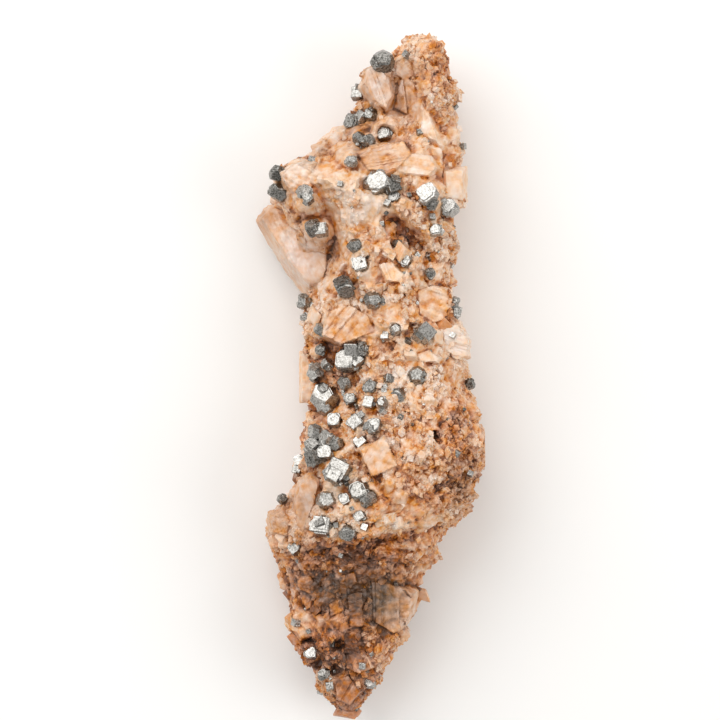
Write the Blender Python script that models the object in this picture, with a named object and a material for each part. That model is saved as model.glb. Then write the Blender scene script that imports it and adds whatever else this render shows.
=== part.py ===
"""A hand-size mineral specimen: peach dolomite matrix studded with steel-grey pyrite crystals.

It lies on its broken back with the crystal-covered face up. X runs across the specimen, Y along it towards
the narrow spire, and Z up from the surface it rests on. Tables of places and sizes are in millimetres.
"""

import itertools
import math

import bmesh
import bpy
import numpy as np
from mathutils import Matrix, Vector
from mathutils.bvhtree import BVHTree

MM = 0.001

# Driving sizes of the matrix
LENGTH = 155.5
TOP_END = 77.7
BOTTOM_END = TOP_END - LENGTH
ROWS = 170
FRONT_COLUMNS = 76
BACK_COLUMNS = 34
FACES_KEPT = 2700
RESTING_SKIN = 0.2
BOXINESS = 0.86
END_CAP_RISE = 0.6

# Outline of the matrix from above, as (y, x) points from the spire down to the foot
LEFT_EDGE = [
    (77.7, 9.0), (75.5, 6.5), (73.5, 5.0), (71.5, 1.5), (69, -2.5), (62, -3.0), (57.5, -5.5), (56, -9.0),
    (52, -13.0), (50, -15.0), (49, -17.5), (46.5, -21.5), (43, -22.5), (39, -22.5), (33, -18.0), (24, -15.0),
    (19, -13.5), (13, -15.0), (4, -14.5), (-6, -14.5), (-16, -15.5), (-19, -17.0), (-25, -18.0), (-28, -20.0),
    (-30, -22.5), (-35, -23.5), (-40, -22.5), (-47, -20.0), (-53, -19.5), (-57, -19.0), (-60, -17.5),
    (-64, -14.5), (-68, -13.0), (-71, -13.0), (-73, -11.0), (-75, -9.0), (-77.8, -6.5),
]
RIGHT_EDGE = [
    (77.7, 13.5), (75, 16.0), (72, 17.0), (65, 19.0), (59, 19.0), (55, 20.0), (50, 21.0), (43, 20.5),
    (35, 19.5), (29, 20.0), (23, 19.0), (18, 18.0), (13, 18.5), (9.5, 21.0), (4, 21.5), (0, 23.0),
    (-4, 22.3), (-8, 22.8), (-11, 23.5), (-14, 25.3), (-17, 26.3), (-20, 25.8), (-23, 24.4), (-27, 23.0),
    (-32, 19.8), (-35, 17.8), (-40, 14.4), (-44, 11.9), (-48, 9.6), (-50, 10.2), (-52, 9.2), (-57, 7.8),
    (-62, 6.0), (-66, 3.4), (-71, 0.0), (-74, -2.0), (-77.8, -4.0),
]
# Heights along Y, as (y, z): the crest of the face, the widest line round the sides, and the back
CREST_LINE = [
    (77.7, 18), (75, 22), (70, 24.5), (62, 25.5), (55, 25.5), (50, 27.5), (46, 30), (40, 31), (30, 31),
    (20, 30), (10, 29.5), (0, 30.5), (-8, 32), (-17, 34), (-28, 33.5), (-38, 32), (-44, 29), (-52, 27),
    (-58, 26), (-64, 24.5), (-70, 21.5), (-75, 17.5), (-77.8, 13),
]
RIM_LINE = [(77.7, 14.5), (60, 15), (40, 14), (0, 14), (-20, 15), (-40, 13), (-60, 12), (-77.8, 10)]
BACK_LINE = [
    (77.7, 11), (70, 6), (62, 3), (55, 0.4), (45, -1.2), (30, -0.4), (10, -1.3), (-10, -0.5), (-25, -1.4),
    (-40, -0.6), (-52, -0.2), (-60, 1.5), (-68, 3.2), (-74, 5.5), (-77.8, 8),
]

# Swells and hollows of the face: x, y, reach along and across, turn in degrees, height
SWELLS = [
    (13.5, 67, 4.5, 14, 0, 2.0),
    (6.6, 62.5, 3.6, 8, 0, -5.0),
    (-5.2, 57, 8, 5.5, 0, -5.0),
    (-10, 42.5, 9, 8, 0, 2.0),
    (10.5, 38, 8, 6, 0, 1.5),
    (6.2, 32.6, 4.2, 2.2, -38, -6.5),
    (-8.2, 26, 2.2, 6, 28, -3.5),
    (17.5, 21, 4, 6, 0, -2.0),
    (-8.0, -2.5, 5.5, 8.5, 0, -4.5),
    (0.8, -6.5, 2.6, 3.6, 0, -2.5),
    (12, -16, 11, 13, 0, 2.0),
    (-12, -57, 7, 7, 0, 2.5),
    (-8.2, -60.2, 1.8, 1.5, 0, -3.5),
    (-8.2, -66.4, 2.2, 1.5, 0, -3.0),
]
# The shelf where the face drops towards the foot: y at x = 0, slope, drop, and length of the drop
SHELF = (-34.6, 0.17, 4.5, 2.2)

# Rhomb faces that break the surface up: the size of a rhomb, and how much of its relief shows
COARSE_FACETS = (9.0, 0.34)
FINE_FACETS = (4.4, 0.36)
FACET_LEVEL = 1.77
FACET_REACH = (1.0, 2.55)
RHOMB_TILT = math.radians(43.8)

# Large dolomite crystals: outline from above (counter-clockwise), rise over the face, slope along X and Y,
# depth, and draught of the sides in degrees
DOLOMITE = {
    "big_left": (
        [(-26.4, 35.3), (-24.9, 31), (-20.5, 24.6), (-17.3, 19.8), (-15.3, 19.0), (-10.2, 20), (-8.6, 27.6),
         (-11.6, 34.5), (-17, 38.0), (-23.5, 38.8)], 5.0, (0.2, -0.12), 14, 10),
    "grain_ledge": ([(-4.6, 50.4), (-1.6, 45.4), (5, 44.8), (9.2, 49.7), (7.1, 52.9), (0, 52)],
                    1.7, (0.02, -0.22), 9, 8),
    "cream_slab": ([(15.0, 47), (15.4, 39.2), (20.8, 38.8), (21.0, 47.4)], 3.2, (-0.3, 0.05), 12, 8),
    "spire_left": ([(-3.0, 65.7), (-0.8, 61.5), (3.4, 58.6), (5.6, 62.9), (4.8, 67.5), (1.1, 71.8),
                    (-2.0, 69.8)], 0.8, (0.35, 0.1), 12, 12),
    "spire_middle": ([(4.3, 68), (7.1, 66), (10, 67.5), (9.2, 71), (7.1, 72.8), (4.5, 71)], 0.6, (0.1, 0.2), 9, 10),
    "shelf_crystal": ([(-13.0, 54), (-10.7, 50.8), (-6.4, 51), (-4.6, 53.8), (-5.9, 56.8), (-9.8, 57)],
                      1.6, (0.1, 0.05), 9, 14),
    "shoulder_crystal": ([(-21.8, 46), (-20.1, 42.2), (-16.4, 39), (-12.6, 42.2), (-12.2, 48.2), (-17.3, 49.6)],
                         0.6, (0.12, 0.1), 9, 12),
    "striated_crystal": ([(-11.9, 9.0), (-7.3, 6.4), (-0.9, 9.8), (-3, 13.6), (-7.1, 16.8), (-11, 14.4)],
                         1.4, (0.1, -0.12), 8, 9),
    "edge_slab": ([(-16.8, -6.4), (-13.3, -6.2), (-13.3, 6.4), (-16.8, 5.6)], 2.4, (0.1, 0), 10, 5),
    "small_rhomb": ([(-15.4, 12.3), (-12.5, 10.2), (-10.8, 13.7), (-13.7, 16.2)], 1.8, (0.3, 0.1), 7, 8),
    "orange_crystal": ([(9.8, 13.6), (13.5, 11.4), (18.4, 13), (18.3, 19.6), (13, 21), (9.1, 19.6)],
                       1.6, (-0.12, 0.1), 8, 10),
    "middle_crystal": ([(0.7, 25.1), (2.5, 20.8), (6.8, 20.1), (7.4, 23), (4.3, 26.2)], 0.9, (0.1, -0.2), 7, 10),
    "pink_plates": ([(14.4, 11.4), (15.3, 5.3), (18.7, 2.5), (22.0, 4.4), (21.9, 8.2), (19.4, 12.5)],
                    1.8, (-0.28, 0.1), 8, 10),
    "fan_crystal": ([(9.1, 5.2), (10, 3), (14.8, 2.5), (15.5, 4.3), (12.5, 6.4)], 0.8, (0, -0.25), 6, 10),
    "peach_rhomb": ([(-3.6, -16), (-0.7, -22.5), (6.1, -19.9), (2.7, -12.6)], 1.6, (0.05, -0.08), 9, 6),
    "tall_crystal": ([(-17.8, -28.3), (-17.8, -34), (-15.3, -35.4), (-12.8, -29.4), (-11.4, -23.3),
                      (-13.5, -21.2), (-16.6, -23.5)], 1.8, (0.3, 0.05), 9, 8),
    "grey_block": ([(-1.6, -44.9), (-0.9, -55.8), (4.8, -59), (8.4, -56.1), (10.3, -48.8), (3.9, -45.9)],
                   1.0, (-0.1, 0.08), 9, 6),
    "band_block": ([(-6.2, -48.8), (-5.4, -56.8), (-1.9, -56.3), (-2.2, -48.2)], 0.7, (0.05, 0), 8, 5),
    "band_chip": ([(-10.4, -51), (-9.8, -54.5), (-6.2, -52.6), (-6.8, -49)], 0.6, (0.1, 0.15), 6, 8),
    "foot_lump": ([(-19.6, -54), (-18.9, -57.7), (-16.6, -60.6), (-11.4, -59.4), (-12.2, -53.2), (-17.1, -50.4)],
                  0.8, (0.15, 0.1), 9, 16),
    "foot_block": ([(-9.8, -68.2), (-8.6, -73.6), (-5.2, -75.2), (-2.2, -71.6), (-5.2, -66.8)],
                   0.8, (0.05, 0.1), 7, 12),
    "foot_chip": ([(-6.6, -62.3), (-6.6, -66.1), (-3.2, -67.7), (0.7, -65.9), (-1.8, -61.1)],
                  0.7, (-0.1, -0.1), 6, 12),
    "left_ledge": ([(-23.7, -31), (-23.2, -35.8), (-18.7, -36.5), (-17.8, -31.7), (-20.3, -29.2)],
                   1.6, (0.2, 0.05), 8, 10),
}

# Pyrite: shapes of the crystals, and each crystal as x, y, width across, shape, and whether its top face
# leans towards the upper left and catches the light. Crystals in one inner list have grown together.
CUBE, TWELVE, MIXED = "cube", "pyritohedron", "cube with cut corners"
PYRITE = {
    "spire": [
        [(2.5, 70.7, 4.6, TWELVE, False)],
        [(-3.4, 64.5, 2.9, CUBE, True)],
        [(-4.6, 57.9, 3.2, MIXED, False), (-2.5, 58.8, 2.6, CUBE, False), (-0.7, 59.1, 2.9, TWELVE, False)],
        [(-3.2, 53.4, 2.8, TWELVE, False), (-1.2, 53.0, 2.6, MIXED, False)],
        [(2.7, 54.6, 3.1, MIXED, True)],
        [(-4.8, 47.9, 2.6, TWELVE, False)],
    ],
    "shoulder": [
        [(-21.6, 45.8, 3.2, TWELVE, False)],
        [(-21.2, 41.7, 3.9, TWELVE, False)],
        [(-15.3, 41.0, 2.8, MIXED, False), (-14.4, 39.3, 2.0, CUBE, False)],
        [(1.6, 42.9, 4.7, MIXED, True), (4.0, 42.2, 3.4, CUBE, False), (-1.1, 42.9, 2.6, TWELVE, False),
         (4.6, 39.9, 2.3, MIXED, True)],
        [(12.0, 40.4, 4.1, MIXED, True), (13.1, 38.5, 2.3, CUBE, False)],
        [(17.2, 37.8, 3.5, MIXED, True), (15.7, 38.7, 2.2, TWELVE, False)],
        [(-13.5, 33.1, 3.1, MIXED, False), (-11.6, 32.6, 2.8, CUBE, True)],
        [(-3.9, 29.2, 2.8, TWELVE, False)],
        [(14.1, 32.6, 2.4, MIXED, True)],
        [(5.2, 29.6, 2.0, TWELVE, False)],
        [(-2.7, 24.9, 3.3, CUBE, True)],
        [(7.2, 25.6, 2.5, MIXED, True)],
        [(12.8, 22.9, 2.2, TWELVE, False)],
    ],
    "waist": [
        [(-6.6, 19.8, 3.9, MIXED, False)],
        [(-0.2, 16.9, 3.5, TWELVE, False)],
        [(18.0, 16.6, 2.4, MIXED, False), (18.4, 14.5, 2.3, CUBE, False)],
        [(-15.7, 16.9, 3.0, TWELVE, False)],
        [(-11.6, 10.4, 2.3, CUBE, False)],
        [(11.4, 9.6, 3.7, CUBE, False)],
        [(4.8, 10.5, 2.5, TWELVE, False)],
    ],
    "hollow": [
        [(-5.9, 3.2, 4.4, MIXED, True), (-3.7, 3.6, 2.9, CUBE, True), (-4.8, 6.2, 3.1, CUBE, False),
         (-2.8, 6.2, 3.2, MIXED, False)],
        [(-11.7, 6.0, 2.3, TWELVE, False)],
        [(-10.4, 2.7, 2.4, MIXED, False)],
        [(-13.1, 0.8, 3.9, TWELVE, False)],
        [(-10.7, -5.0, 5.9, TWELVE, True)],
        [(-6.4, -1.6, 2.7, TWELVE, False)],
        [(-5.0, -5.3, 2.7, MIXED, False)],
        [(9.6, 0.3, 3.6, TWELVE, False)],
        [(3.4, -0.6, 2.1, CUBE, False)],
        [(-0.5, -2.3, 2.7, MIXED, False)],
        [(-0.9, -5.8, 2.4, CUBE, True)],
        [(2.0, -5.8, 2.3, TWELVE, False)],
        [(5.4, -4.2, 3.0, MIXED, False)],
        [(-3.9, -10.4, 3.0, CUBE, True)],
        [(0.3, -11.0, 3.0, MIXED, True)],
        [(-2.9, -14.6, 2.8, CUBE, True)],
        [(-8.6, -10.0, 3.2, MIXED, True)],
    ],
    "cluster": [
        [(-12.8, -12.5, 3.2, TWELVE, False), (-10.2, -14.0, 3.2, MIXED, False), (-13.5, -15.7, 3.0, CUBE, False),
         (-10.6, -17.0, 3.4, MIXED, True), (-13.0, -18.0, 3.6, CUBE, False), (-8.4, -15.0, 3.2, TWELVE, False)],
    ],
    "foot": [
        [(-7.6, -20.9, 4.6, CUBE, True)],
        [(-16.6, -19.4, 2.4, MIXED, True), (-16.9, -20.9, 2.1, CUBE, True)],
        [(-3.0, -25.6, 4.0, MIXED, True), (-1.1, -26.9, 3.6, TWELVE, False)],
        [(-6.4, -27.3, 2.3, MIXED, True)],
        [(-10.4, -27.6, 3.9, TWELVE, False)],
        [(-3.0, -31.0, 2.5, MIXED, True)],
        [(-11.2, -33.2, 3.9, CUBE, True), (-13.0, -33.0, 2.1, MIXED, True)],
        [(-5.5, -34.7, 3.2, MIXED, False)],
        [(-20.5, -28.0, 2.2, TWELVE, False)],
        [(-17.4, -38.6, 2.7, MIXED, False)],
        [(22.1, -1.8, 2.2, TWELVE, False)],
        [(-13.9, -62.4, 2.2, MIXED, True)],
        [(-11.2, -67.4, 2.5, TWELVE, False)],
        [(-0.6, -69.6, 2.5, MIXED, True)],
    ],
}
SEAT_LIFT = 0.14
SHARED_SEAT = 0.7
SOCKET_GAP = 0.34
# Moves the finished specimen so that its box is centred over the origin
CENTRING = Vector((1.24, 0.05, 0))
LIGHT_LEAN = Vector((-0.244, 0.298, 0.922))
GOLDEN_TURN = 137.5


def along(line, y):
    """Value at y of a line given as (y, value) points that run down from the spire."""
    ys, values = np.array(line[::-1], float).T
    return np.interp(y, ys, values)


def lattice_number(cell, channel):
    """A repeatable number from 0 to 1 for each cell of a lattice of whole numbers."""
    cell = cell.astype(np.int64).astype(np.uint32)
    mixed = cell[..., 0] * np.uint32(73856093) ^ cell[..., 1] * np.uint32(19349663)
    mixed = mixed ^ cell[..., 2] * np.uint32(83492791) ^ np.uint32(channel * 40503 + 977)
    for shift, factor in ((16, 2246822507), (13, 3266489909)):
        mixed = (mixed ^ (mixed >> np.uint32(shift))) * np.uint32(factor)
    return (mixed ^ (mixed >> np.uint32(16))) / float(2**32)


def turned_rhomb(spin, pitch, roll):
    """The three face normals of a dolomite rhomb, turned by three angles given as arrays."""
    axes = []
    for k in range(3):
        azimuth = spin + k * 2 * math.pi / 3
        x = math.sin(RHOMB_TILT) * np.cos(azimuth)
        y = math.sin(RHOMB_TILT) * np.sin(azimuth)
        z = np.full_like(x, math.cos(RHOMB_TILT))
        x, z = x * np.cos(pitch) + z * np.sin(pitch), z * np.cos(pitch) - x * np.sin(pitch)
        y, z = y * np.cos(roll) - z * np.sin(roll), z * np.cos(roll) + y * np.sin(roll)
        axes.append(np.stack([x, y, z], -1))
    return axes


def facets(points, outward, size):
    """How far outward from each point the highest of the nearby rhombs reaches, as a share of size.

    One rhomb sits in each cell of a lattice. Outward from a point, its surface is where the nearest of its
    three facing planes is met, and the rock's surface is the furthest of the rhombs in the 27 cells around.
    """
    home = np.floor(points / size)
    furthest = np.full(len(points), -1.0)
    for step in itertools.product((-1, 0, 1), repeat=3):
        cell = home + step
        centre = (cell + np.stack([lattice_number(cell, k) for k in range(3)], -1)) * size
        angles = [lattice_number(cell, k) * 2 * math.pi for k in (3, 4, 5)]
        half = (0.32 + 0.22 * lattice_number(cell, 6)) * size
        reach = np.full(len(points), 9.0 * size)
        for axis in turned_rhomb(*angles):
            facing = (axis * outward).sum(-1)
            side = np.sign(facing)
            gap = half - side * (axis * (points - centre)).sum(-1)
            reach = np.minimum(reach, gap / np.maximum(np.abs(facing), 0.12))
        furthest = np.maximum(furthest, reach / size)
    return np.clip(furthest, *FACET_REACH)


def face_relief(x, y):
    """Swells, hollows and the shelf of the face, in millimetres over the plain crown."""
    height = np.zeros_like(x)
    for cx, cy, reach_x, reach_y, turn, rise in SWELLS:
        c, s = math.cos(math.radians(turn)), math.sin(math.radians(turn))
        u = ((x - cx) * c + (y - cy) * s) / reach_x
        v = ((y - cy) * c - (x - cx) * s) / reach_y
        height += rise * np.exp(-(u * u + v * v) ** 1.5)
    start, slope, drop, length = SHELF
    below = np.clip((start + slope * x - y) / length, 0, 1)
    recovery = np.clip((start + slope * x - y) / 40, 0, 1)
    return height - drop * below * below * (3 - 2 * below) * (1 - recovery)


def face_height(x, y):
    """Height of the face over the floor at a place seen from above, before the facets."""
    left, right = along(LEFT_EDGE, y), along(RIGHT_EDGE, y)
    rim, crest = along(RIM_LINE, y), along(CREST_LINE, y)
    across = np.clip(np.abs((x - (left + right) / 2) / ((right - left) / 2)), 0, 1) ** (2 / BOXINESS)
    up = (1 - across) ** (BOXINESS / 2)
    return rim + (crest - rim) * up + face_relief(x, y) * np.clip(up * 2, 0, 1)


def matrix_points():
    """The matrix as rings of points, one ring for each row along Y."""
    y = np.linspace(TOP_END, BOTTOM_END, ROWS)[:, None]
    front = np.linspace(0, math.pi, FRONT_COLUMNS, endpoint=False)
    back = np.linspace(math.pi, 2 * math.pi, BACK_COLUMNS, endpoint=False)
    angle = np.concatenate([front, back])[None, :]
    left, right = along(LEFT_EDGE, y), along(RIGHT_EDGE, y)
    rim, crest, low = along(RIM_LINE, y), along(CREST_LINE, y), along(BACK_LINE, y)
    across = np.sign(np.cos(angle)) * np.abs(np.cos(angle)) ** BOXINESS
    up = np.abs(np.sin(angle)) ** BOXINESS
    is_front = np.sin(angle) > 0
    x = (left + right) / 2 + across * (right - left) / 2
    z = rim + np.where(is_front, (crest - rim) * up, (low - rim) * up)
    y = np.broadcast_to(y, x.shape)
    z = z + np.where(is_front, face_relief(x, y) * np.clip(up * 2, 0, 1), 0)
    points = np.stack([x, y, z], -1).reshape(-1, 3)
    middle = np.stack([(left + right) / 2 + 0 * x, y, rim + 0 * x], -1).reshape(-1, 3)
    outward = points - middle
    outward /= np.linalg.norm(outward, axis=1, keepdims=True)
    width = np.broadcast_to(right - left, x.shape).reshape(-1)
    strength = np.clip(width / 24, 0.15, 1)
    for size, share in (COARSE_FACETS, FINE_FACETS):
        push = (facets(points, outward, size) - FACET_LEVEL) * share * size * strength
        points = points + outward * push[:, None]
    points[:, 2] = np.maximum(points[:, 2], 0)
    return points.reshape(ROWS, -1, 3)


def new_material(name, colour, roughness, metallic):
    material = bpy.data.materials.new(name)
    material.use_nodes = True
    shader = material.node_tree.nodes["Principled BSDF"]
    shader.inputs["Base Color"].default_value = (*colour, 1)
    shader.inputs["Roughness"].default_value = roughness
    shader.inputs["Metallic"].default_value = metallic
    material.diffuse_color = (*colour, 1)
    return material


def new_object(name, points, faces, material=None):
    """An object whose mesh is given in millimetres."""
    mesh = bpy.data.meshes.new(name)
    mesh.from_pydata([Vector(p) * MM for p in points], [], faces)
    if material:
        mesh.materials.append(material)
    obj = bpy.data.objects.new(name, mesh)
    bpy.context.scene.collection.objects.link(obj)
    return obj


def build_matrix_core(material):
    """The body of the matrix: its rings joined by quads, then thinned to the flat faces that it needs."""
    rings = matrix_points()
    rows, columns = rings.shape[:2]
    ends = [rings[0].mean(0) + (0, END_CAP_RISE, 0), rings[-1].mean(0) - (0, END_CAP_RISE, 0)]
    points = [*rings.reshape(-1, 3), *ends]
    faces = []
    for row in range(rows - 1):
        for column in range(columns):
            after = (column + 1) % columns
            faces.append((row * columns + column, row * columns + after,
                          (row + 1) * columns + after, (row + 1) * columns + column))
    last = (rows - 1) * columns
    for column in range(columns):
        after = (column + 1) % columns
        faces.append((rows * columns, after, column))
        faces.append((rows * columns + 1, last + column, last + after))
    obj = new_object("dolomite_matrix", points, faces, material)
    plane = obj.modifiers.new("flat faces", "DECIMATE")
    plane.ratio = FACES_KEPT / (2 * rows * columns)
    graph = bpy.context.evaluated_depsgraph_get()
    obj.data = bpy.data.meshes.new_from_object(obj.evaluated_get(graph))
    obj.modifiers.clear()
    shape = bmesh.new()
    shape.from_mesh(obj.data)
    for vert in shape.verts:
        if vert.co.z < RESTING_SKIN * MM:
            vert.co.z = 0
    bmesh.ops.recalc_face_normals(shape, faces=shape.faces)
    shape.to_mesh(obj.data)
    shape.free()
    return obj


def corners_of(normals, reaches):
    """The corners of the convex solid that lies within every plane, each a normal and its reach."""
    trios = np.array(list(itertools.combinations(range(len(normals)), 3)))
    trios = trios[np.abs(np.linalg.det(normals[trios])) > 1e-3]
    met = np.linalg.solve(normals[trios], reaches[trios][..., None])[..., 0]
    inside = (met @ normals.T <= reaches + 1e-6).all(1)
    return np.unique(np.round(met[inside], 4), axis=0)


def hull_object(name, points, material=None):
    """A convex solid round some points, with flat faces kept whole."""
    obj = new_object(name, points, [], material)
    shape = bmesh.new()
    shape.from_mesh(obj.data)
    bmesh.ops.convex_hull(shape, input=shape.verts)
    bmesh.ops.delete(shape, geom=[v for v in shape.verts if not v.link_faces], context="VERTS")
    bmesh.ops.dissolve_limit(shape, angle_limit=0.01, verts=shape.verts, edges=shape.edges)
    bmesh.ops.recalc_face_normals(shape, faces=shape.faces)
    shape.to_mesh(obj.data)
    shape.free()
    return obj


def combine(target, tools, operation):
    """Joins or cuts target with all the tools at once, and removes them."""
    group = bpy.data.collections.new("tools")
    for tool in tools:
        group.objects.link(tool)
    modifier = target.modifiers.new(operation.lower(), "BOOLEAN")
    modifier.operation = operation
    modifier.solver = "EXACT"
    modifier.operand_type = "COLLECTION"
    modifier.collection = group
    graph = bpy.context.evaluated_depsgraph_get()
    made = bpy.data.meshes.new_from_object(target.evaluated_get(graph))
    target.modifiers.clear()
    made.name = target.name
    target.data = made
    for tool in tools:
        bpy.data.objects.remove(tool)
    bpy.data.collections.remove(group)


def keep_largest_piece(obj):
    """Drops the crumbs that a cut leaves loose beside the main body."""
    shape = bmesh.new()
    shape.from_mesh(obj.data)
    unseen, pieces = set(shape.verts), []
    while unseen:
        edge_of_search = [unseen.pop()]
        piece = set(edge_of_search)
        while edge_of_search:
            vert = edge_of_search.pop()
            near = {e.other_vert(vert) for e in vert.link_edges} & unseen
            unseen -= near
            piece |= near
            edge_of_search.extend(near)
        pieces.append(piece)
    largest = max(pieces, key=len)
    loose = [v for v in shape.verts if v not in largest]
    bmesh.ops.delete(shape, geom=loose, context="VERTS")
    shape.to_mesh(obj.data)
    shape.free()


def dolomite_crystal(name, outline, rise, slope, depth, draught):
    """A blocky crystal: sides that lean in by the draught, a sloping top face and a flat underside."""
    outline = np.array(outline, float)
    edges = np.roll(outline, -1, axis=0) - outline
    sides = np.stack([edges[:, 1], -edges[:, 0]], 1)
    sides /= np.linalg.norm(sides, axis=1, keepdims=True)
    lean = math.radians(draught)
    middle = outline.mean(0)
    top = float(face_height(middle[:1], middle[1:])[0]) + rise
    waist = np.column_stack([outline, np.full(len(outline), top - depth / 2)])
    normals = np.column_stack([sides * math.cos(lean), np.full(len(sides), math.sin(lean))])
    reaches = (normals * waist).sum(1)
    up = np.array([-slope[0], -slope[1], 1.0])
    up /= np.linalg.norm(up)
    normals = np.vstack([normals, up, [0, 0, -1]])
    reaches = np.append(reaches, [up @ [*middle, top], -max(top - depth, 0.8)])
    return hull_object(name, corners_of(normals, reaches))


def pyrite_planes(shape):
    """Normals and reaches, for a half width of 1, of one pyrite crystal."""
    cube = [np.roll([side, 0, 0], k) for k in range(3) for side in (-1, 1)]
    twelve = [np.roll([0, a, 2 * b], k) for k in range(3) for a in (-1, 1) for b in (-1, 1)]
    corners = list(itertools.product((-1, 1), repeat=3))
    if shape == CUBE:
        normals, reaches = cube, [1.0] * 6
    elif shape == TWELVE:
        normals, reaches = twelve, [0.97] * 12
    else:
        normals, reaches = cube + corners, [0.98] * 6 + [1.34] * 8
    normals = np.array(normals, float)
    return normals / np.linalg.norm(normals, axis=1, keepdims=True), np.array(reaches)


def crystal_turn(count, bright):
    """The turn of a crystal: bright ones have a face leaning to the light, and the rest lie any way."""
    spin = Matrix.Rotation(math.radians(GOLDEN_TURN * count), 3, "Z")
    if bright:
        return LIGHT_LEAN.to_track_quat("Z", "Y").to_matrix() @ spin
    tilt = math.radians(18 + 23 * (count * 0.618 % 1))
    return spin @ Matrix.Rotation(tilt, 3, "X") @ Matrix.Rotation(math.radians(31 * count), 3, "Z")


def seat_height(surface, x, y):
    """Height of the matrix below a point over it, or beside it where the point is past its edge."""
    hit = surface.ray_cast(Vector((x, y, 60)) * MM, Vector((0, 0, -1)))[0]
    if hit is None:
        rim = float(along(RIM_LINE, y)) + 3
        hit = surface.find_nearest(Vector((x, y, rim)) * MM)[0]
    return hit.z / MM


def pyrite_points(crystal, count, seat, gap=0):
    """Corners of one pyrite crystal in its place, over half of it proud, or of a socket with a gap round it."""
    x, y, width, shape, bright = crystal
    if gap and shape == MIXED:
        shape = CUBE
    normals, reaches = pyrite_planes(shape)
    corners = corners_of(normals, reaches * width / 2 + gap)
    turn = np.array(crystal_turn(count, bright))
    return corners @ turn.T + np.array([x, y, seat + width * SEAT_LIFT])


def build_pyrite(name, crystals, first, surface, material):
    """One pyrite node and the cutters of its sockets. Crystals that have grown together are one solid."""
    seats = np.array([seat_height(surface, crystal[0], crystal[1]) for crystal in crystals])
    seats += (seats.mean() - seats) * SHARED_SEAT
    solids = [pyrite_points(c, first + n, seats[n]) for n, c in enumerate(crystals)]
    node = hull_object(name, solids[0], material)
    if len(solids) > 1:
        combine(node, [hull_object("growth", points) for points in solids[1:]], "UNION")
    node.data.materials.clear()
    node.data.materials.append(material)
    gaps = [pyrite_points(c, first + n, seats[n], SOCKET_GAP) for n, c in enumerate(crystals)]
    return node, [hull_object("socket", points) for points in gaps]


def main():
    for obj in list(bpy.data.objects):
        bpy.data.objects.remove(obj)
    stone = new_material("dolomite", (0.62, 0.36, 0.20), 0.55, 0.0)
    metal = new_material("pyrite", (0.33, 0.33, 0.31), 0.28, 1.0)
    matrix = build_matrix_core(stone)
    combine(matrix, [dolomite_crystal(name, *form) for name, form in DOLOMITE.items()], "UNION")
    graph = bpy.context.evaluated_depsgraph_get()
    surface = BVHTree.FromObject(matrix, graph)
    sockets = []
    count = 0
    for zone, groups in PYRITE.items():
        for number, crystals in enumerate(groups, 1):
            name = f"pyrite_{zone}_{number:02d}"
            sockets += build_pyrite(name, crystals, count, surface, metal)[1]
            count += len(crystals)
    combine(matrix, sockets, "DIFFERENCE")
    keep_largest_piece(matrix)
    matrix.data.materials.clear()
    matrix.data.materials.append(stone)
    for obj in bpy.data.objects:
        obj.data.transform(Matrix.Translation(CENTRING * MM))


main()
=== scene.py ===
"""Looks of a dolomite and pyrite specimen: crusted peach matrix, cleaved crystals and steel-grey pyrite.

Every shape is worked out in millimetres, in the specimen's own layout, and moved to metres when its mesh is made.
X runs across the specimen, Y along it towards the narrow spire, and Z up out of the crystal-covered face.
"""

import itertools
import logging
import math
from collections.abc import Callable
from dataclasses import dataclass, field, replace
from enum import Enum

import bpy
import numpy as np
from mathutils import Matrix, Vector


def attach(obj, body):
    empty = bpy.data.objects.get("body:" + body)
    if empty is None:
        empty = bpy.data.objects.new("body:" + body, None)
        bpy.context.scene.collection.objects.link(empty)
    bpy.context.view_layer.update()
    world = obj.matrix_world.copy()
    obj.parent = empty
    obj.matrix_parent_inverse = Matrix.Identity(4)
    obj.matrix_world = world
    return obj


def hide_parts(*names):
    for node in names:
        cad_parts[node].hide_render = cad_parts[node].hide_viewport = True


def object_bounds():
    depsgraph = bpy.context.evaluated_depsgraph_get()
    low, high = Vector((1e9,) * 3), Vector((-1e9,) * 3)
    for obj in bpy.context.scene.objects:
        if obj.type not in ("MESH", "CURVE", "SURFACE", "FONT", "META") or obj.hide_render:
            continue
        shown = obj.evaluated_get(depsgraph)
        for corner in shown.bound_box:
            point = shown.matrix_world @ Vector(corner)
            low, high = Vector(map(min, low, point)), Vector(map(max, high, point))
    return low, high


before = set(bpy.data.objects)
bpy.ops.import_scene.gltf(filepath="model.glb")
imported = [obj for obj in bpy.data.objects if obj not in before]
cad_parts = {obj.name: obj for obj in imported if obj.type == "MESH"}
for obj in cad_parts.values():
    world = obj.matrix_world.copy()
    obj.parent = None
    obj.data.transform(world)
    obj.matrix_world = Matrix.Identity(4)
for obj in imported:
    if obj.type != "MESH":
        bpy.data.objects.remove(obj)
CAD_BOX = [list(corner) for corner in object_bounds()]
log = logging.getLogger("specimen")

MM = 0.001
CENTRING = np.array([1.24, 0.05, 0.0])
BODY = "root"
SEED = 20
RHOMB_TILT = math.radians(43.8)
GOLDEN_TURN = 137.5
# Rhombs of a lattice, as shares of its cell: least half width, how much more it may be, and how wide a seam is
HALF_LEAST, HALF_SPREAD, SEAM_WIDTH = 0.46, 0.28, 0.10
# How far a rhomb's turn strays from its family's, as a share of a whole turn
STRAY = 0.035
# Cleavage lines run along a crystal's first direction, so its grain is drawn out eight times that way
GRAIN_STRETCH = np.array([0.12, 1.0, 1.0])
# Growth stripes of pyrite lie across one direction and are long along the others
STRIPE_STRETCH = np.array([1.0, 0.15, 0.15])
LIGHT_LEAN = Vector((-0.244, 0.298, 0.922))


class Habit(Enum):
    """Shapes that pyrite crystals grow in."""

    CUBE = "cube"
    TWELVE = "pyritohedron"
    MIXED = "cube with cut corners"


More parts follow.
